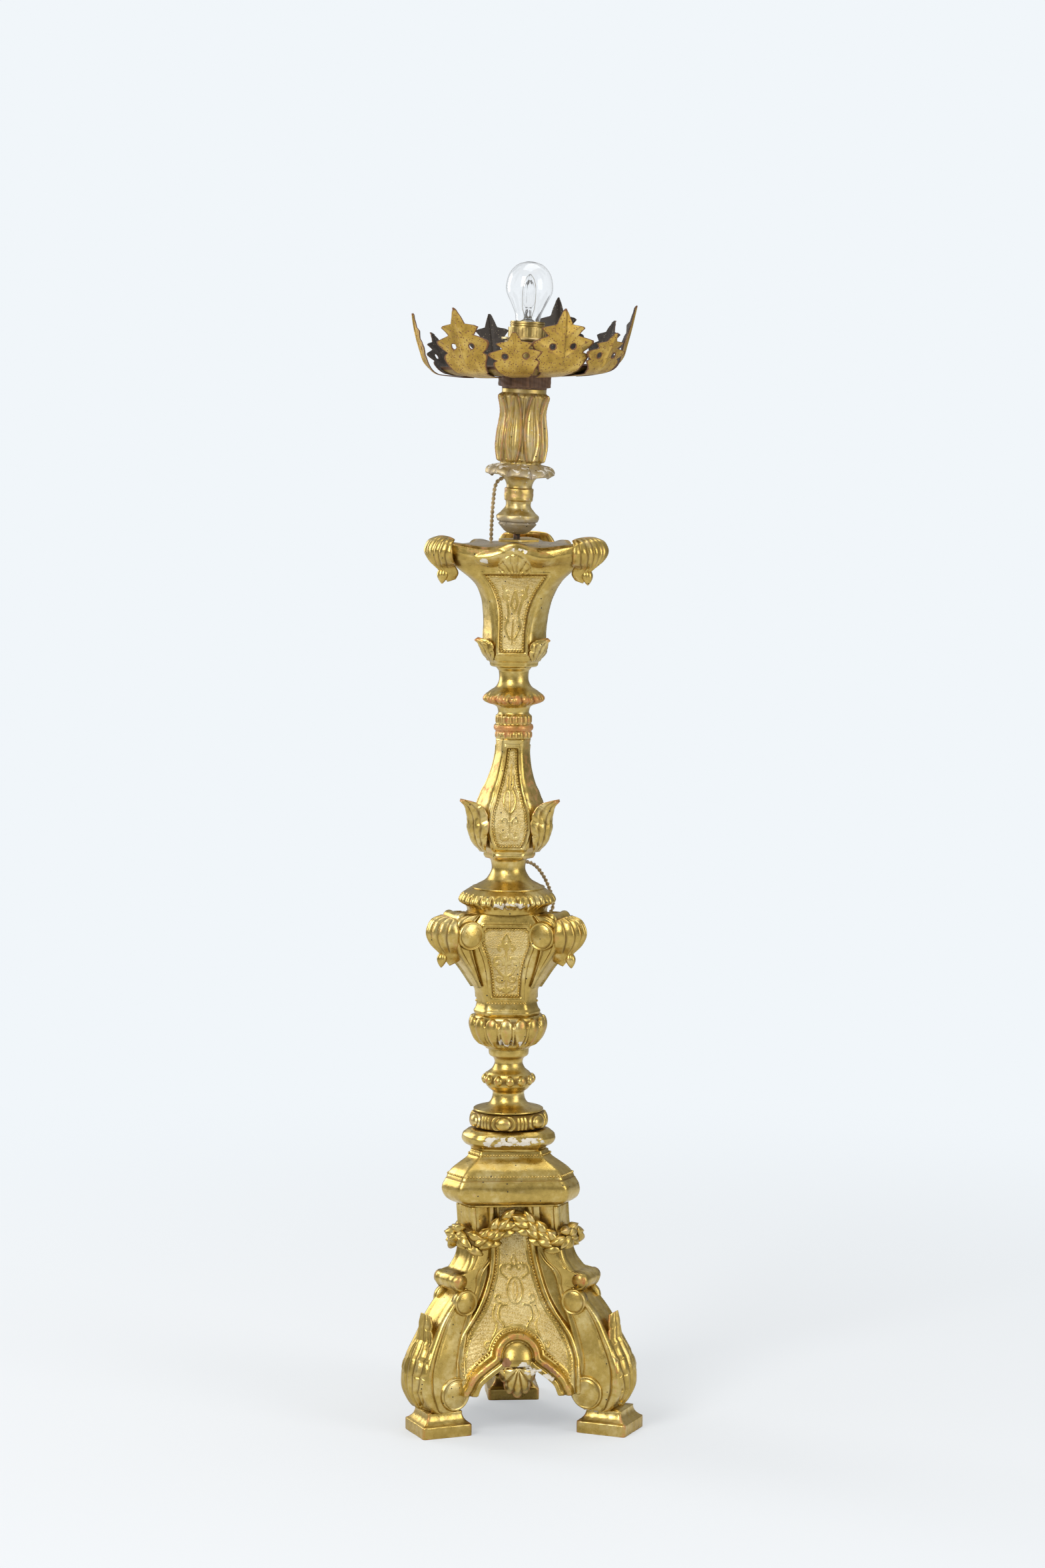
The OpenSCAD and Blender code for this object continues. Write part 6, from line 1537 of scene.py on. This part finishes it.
def makeCup():
    # foot and body as moulded lines turned about the rod, then skirt and band
    f0, b1, ball = cup["foot"], cup["body"], cup["ball"]
    line = join([lifted(smoothLine([[7, 0], [13, 2.5], [18, 6.6], [ball - 2.2, 12.4]], 5), f0),
                 [[ball - 2.7, f0 + 13.2], [ball - 1.4, f0 + 13.9]],
                 lifted(smoothLine([[ball, 17.5], [ball - 0.4, 21.5], [ball - 4.6, 25.2], [16, 30], [14.5, 34.5], [15, 38.4]], 6), f0),
                 [[16.6, f0 + 39.2], [16.9, f0 + 40.5], [16.9, b1 - 1.2], [16.2, b1]]])
    turnedCup("cupFoot", "cup_foot", line, 150, 96, footRelief)
    line = join([lifted(smoothLine([[15.2, 0], [15.2, 4], [17.5, 9.5], [21, 13]], 5), b1), [[24, b1 + 14], [24, b1 + 30]],
                 lifted(smoothLine([[27.9, 32.5], [30, 48], [28.95, 65], [26.3, 86], [27.9, 98], [30, 105], [29.5, 108]], 8), b1),
                 [[26, b1 + 111], [26, b1 + 116]]])
    turnedCup("cupBody", "cup_body", line, 280, 136, petalRelief)
    makeSkirt()
    makeBand()
    print("cup done")


makeCup()

# the ten sheet leaves as [bearing in degrees, height of the tip, share of full width], tall and short in turn
leafTable = [[3, 79, 1.08], [38, 64, 0.95], [71, 90, 1.1], [108, 74, 0.95], [146, 53, 0.95], [184, 74, 1.08], [233, 80, 1.2],
             [265, 52, 1.0], [292, 75, 1.24], [321, 50, 1.1]]
leafOutline = [[0, 0.62], [0.1, 0.74], [0.2, 0.86], [0.25, 0.84], [0.29, 0.7], [0.34, 0.86], [0.42, 1], [0.47, 0.98], [0.52, 0.72],
               [0.56, 0.48], [0.62, 0.58], [0.68, 0.7], [0.71, 0.6], [0.74, 0.26], [0.84, 0.18], [0.93, 0.1], [1, 0.02]]
sheet = {"rows": 106, "columns": 43, "half": 31.0, "thick": 1.15, "holeAcross": 12.0, "holeAt": 0.43, "hole": 3.3, "apart": 2.4,
         "line": [[60, -0.02], [78, -0.004], [100, 0.06], [112, 0.22], [118, 0.44], [124, 0.7], [130, 1]]}


def thicken(front, back, faces):
    # closes two copies of an open surface along every free edge, holes included
    n = len(front)
    starts, ends = faces.ravel(), np.roll(faces, -1, 1).ravel()
    free = ~np.isin(starts * n + ends, ends * n + starts)
    a, b = starts[free], ends[free]
    points = join([front, back])
    every = join([faces, faces[:, ::-1] + n, np.stack([b, a, a + n, b + n], 1)])
    used = np.unique(every)
    renamed = np.zeros(len(points), int)
    renamed[used] = np.arange(len(used))
    return points[used], renamed[every], used


def panLeaf(bearing, tip, width, layer, seed):
    # lobed sheet leaf with two round holes; its middle line rises from under the dish, its sides fold in
    line = smoothLine(sheet["line"], 12) * [1, tip] + [0, -0.1]
    line = line + layer * clip01((line[:, :1] - 86) / 14) * [1, -0.4]
    long = np.r_[0, np.cumsum(np.linalg.norm(np.diff(line, axis=0), axis=1))]
    y, q = np.linspace(0, long[-1], sheet["rows"])[:, None], across(sheet["columns"])
    share = clip01((np.interp(y, long, line[:, 1]) / tip - 0.06) / 0.94)
    under = clip01(y / np.interp(0.06 * tip, line[:, 1], long))
    half = sheet["half"] * width * np.where(share > 0, np.interp(share, *np.array(leafOutline).T), 0.3 + 0.25 * under)
    x = q * (half * (1 + 0.03 * np.sin(share * 21 + seed) * np.sign(q)))
    y = y + 0 * x
    holeY, keep = np.interp(sheet["holeAt"] * tip, line[:, 1], long), np.ones(x.shape, bool)
    middles = [side * sheet["holeAcross"] * min(width, 1.05) for side in (-1, 1)]
    # points near a hole's rim are drawn on to it, and the faces inside are left out
    for cx in middles:
        far = np.hypot(x - cx, y - holeY)
        scale = np.where(np.abs(far - sheet["hole"]) < 0.85, sheet["hole"] / np.maximum(far, 0.1), 1)
        x, y = cx + (x - cx) * scale, holeY + (y - holeY) * scale
        keep &= ~(np.hypot(x - cx, y - holeY) < sheet["hole"] - 0.1)
    out, up = (np.interp(y, long, line[:, k]) for k in (0, 1))
    slope = tangents(line)
    nx, nz = np.interp(y, long, slope[:, 1]), -np.interp(y, long, slope[:, 0])
    t, live = x / 31, step(share, 0.0, 0.25)
    bend = -3.4 * np.abs(t) * live + 1.9 * ridge(x, 0, 1.6) * live + 1.3 * np.sin(share * 5 + seed) * t * live
    bend = bend + 2.2 * np.sin(seed * 1.7) * share ** 3 * 2
    wave = np.abs(np.sin(share * 9 - np.abs(t) * 2.6))
    bend = bend + 0.6 * wave ** 6 * live * (np.abs(t) > 0.1)
    front, back = (xyz(out + nx * (bend + d), x, up + nz * (bend + d)).reshape(-1, 3) for d in (sheet["thick"], 0.0))
    faces = gridFaces(*x.shape, False)
    points, faces, used = thicken(front, back, faces[keep.ravel()[faces].all(1)])
    rubbed = clip01(step(np.abs(q), 0.86, 1) + step(share, 0.9, 1))
    for cx in middles:
        rubbed = np.maximum(rubbed, 1 - clip01((np.hypot(x - cx, y - holeY) - sheet["hole"]) / 2.5))
    branch = wave ** 8 * (np.abs(t) > 0.06) * live + ridge(x, 0, 1.1) * live
    marks = {"edge": np.tile(np.maximum(rubbed, 0.5 * branch).ravel(), 2)[used], "inner": np.repeat([0.0, 1.0], x.size)[used]}
    c, s = math.cos(math.radians(bearing)), math.sin(math.radians(bearing))
    turned = xyz(points[:, 0] * c - points[:, 1] * s, points[:, 0] * s + points[:, 1] * c, points[:, 2])
    return tipped(turned), faces, marks


def spun(line, columns, lift=0.0):
    # rings of a plain turned outline; lift is added to their height
    a = bearings(columns)[None, :]
    return xyz(line[:, :1] * np.cos(a), line[:, :1] * np.sin(a), line[:, 1:] + lift)


def makePan():
    # two layers of five leaves, and a dish of one line and its copy raised by the sheet's thickness
    for first, name in ((0, "inner"), (1, "outer")):
        parts = [panLeaf(*leafTable[k], first * sheet["apart"], k * 1.3) for k in range(first, len(leafTable), 2)]
        makePiece(name + "PanLeaves", parts, giltSheet, [name + "_pan_leaves"])
    low = resample(join([[[5.5, 0], [76, 0]], smoothLine([[79.5, 0.4], [84, 1.2], [94, 5], [99, 10]], 8)]), 54)
    line = join([low, (low + [-0.55, 1.2])[::-1]])
    line[-1, 0] = 5.5
    a = bearings(160)[None, :]
    hammered = 0.18 * np.sin(line[:, :1] * 0.5 + 3 * a) * np.sin(9 * a) * (line[:, :1] > 78)
    marks = {"inner": np.repeat([0.45, 0.8], 54)[:, None], "edge": step(line[:, :1], 95, 99)}
    makePiece("dripDish", [moved(looped(spun(line, 160, hammered), marks), tipped)], giltSheet, ["drip_pan"])
    print("pan done")


makePan()

lamp = {"seat": 251, "wall": 0.75, "crown": 71.2, "wire": 0.32, "collar": 19.6, "threads": (248.9, 251.6),
        "glass": [[13.2, 0], [14.4, 4], [15.6, 12], [21, 24], [26.2, 35], [27.2, 44.8], [23.8, 58], [15.5, 67.8], [6, 71.4], [0.6, 72]],
        "stem": [[4.2, 12], [3.2, 17], [4.8, 20], [6.1, 23], [6.2, 35], [5.6, 43], [4.2, 47], [2.4, 50], [1.7, 54], [0.6, 57]],
        "support": [[2.2, 0, 253], [5.0, 0, 262], [7.2, 0, 272], [7.4, 0, 292], [4.5, 0, 303], [0.2, 0, 308.6]]}


def makeLamp():
    # glass, capsule, wires and thread, all turned about the holder's leaning axis; the rest keeps the solids' meshes
    glass = smoothLine(lamp["glass"], 8)
    inside = glass[::-1] - [lamp["wall"], 0]
    inside = np.stack([np.maximum(inside[:, 0], 0.3), np.minimum(inside[:, 1], lamp["crown"])], 1)
    shell = looped(spun(join([glass, inside]), 96, lamp["seat"]))
    makePiece("bulbGlass", [moved(shell, leaned)], clearGlass, ["bulb_glass"], "bulb")
    stem = join([[[10, 0], [10, 2], [5.2, 5], [4.4, 9]], smoothLine(lamp["stem"], 6)])
    makePiece("bulbCapsule", [moved(capped(spun(stem, 48, lamp["seat"] + 0.2)), leaned)], capsuleGlass, ["bulb_capsule"], "bulb")
    # two wires that hold the inner capsule
    wires = [tubeAlong(smoothLine(np.array(lamp["support"]) * [side, 1, 1], 6), lamp["wire"], 6) for side in (-1, 1)]
    makePiece("capsuleWires", [moved(wire, leaned) for wire in wires], capMetal, body="bulb")
    # two turns of the collar's thread over the ring nut
    a, b = bearings(96)[:, None], bearings(12)[None, :]
    r = lamp["collar"] + np.cos(b)
    threads = [moved(looped(xyz(r * np.cos(a), r * np.sin(a), k + np.sin(b))), leaned) for k in lamp["threads"]]
    makePiece("collarThread", threads, brass)
    kept = {"base_block": innerWood, "top_block": giltGrey, "tie_rod": iron, "rod_nut": iron, "holder_body": brass,
            "holder_shell": brass, "shade_flange": paleBrass, "ring_nut": brass, "bulb_cap": capMetal, "plug": plugPlastic}
    for name, material in kept.items():
        mesh = cadNodes[name].data
        mesh.materials.clear()
        mesh.materials.append(material)
    print("lamp done")


makeLamp()
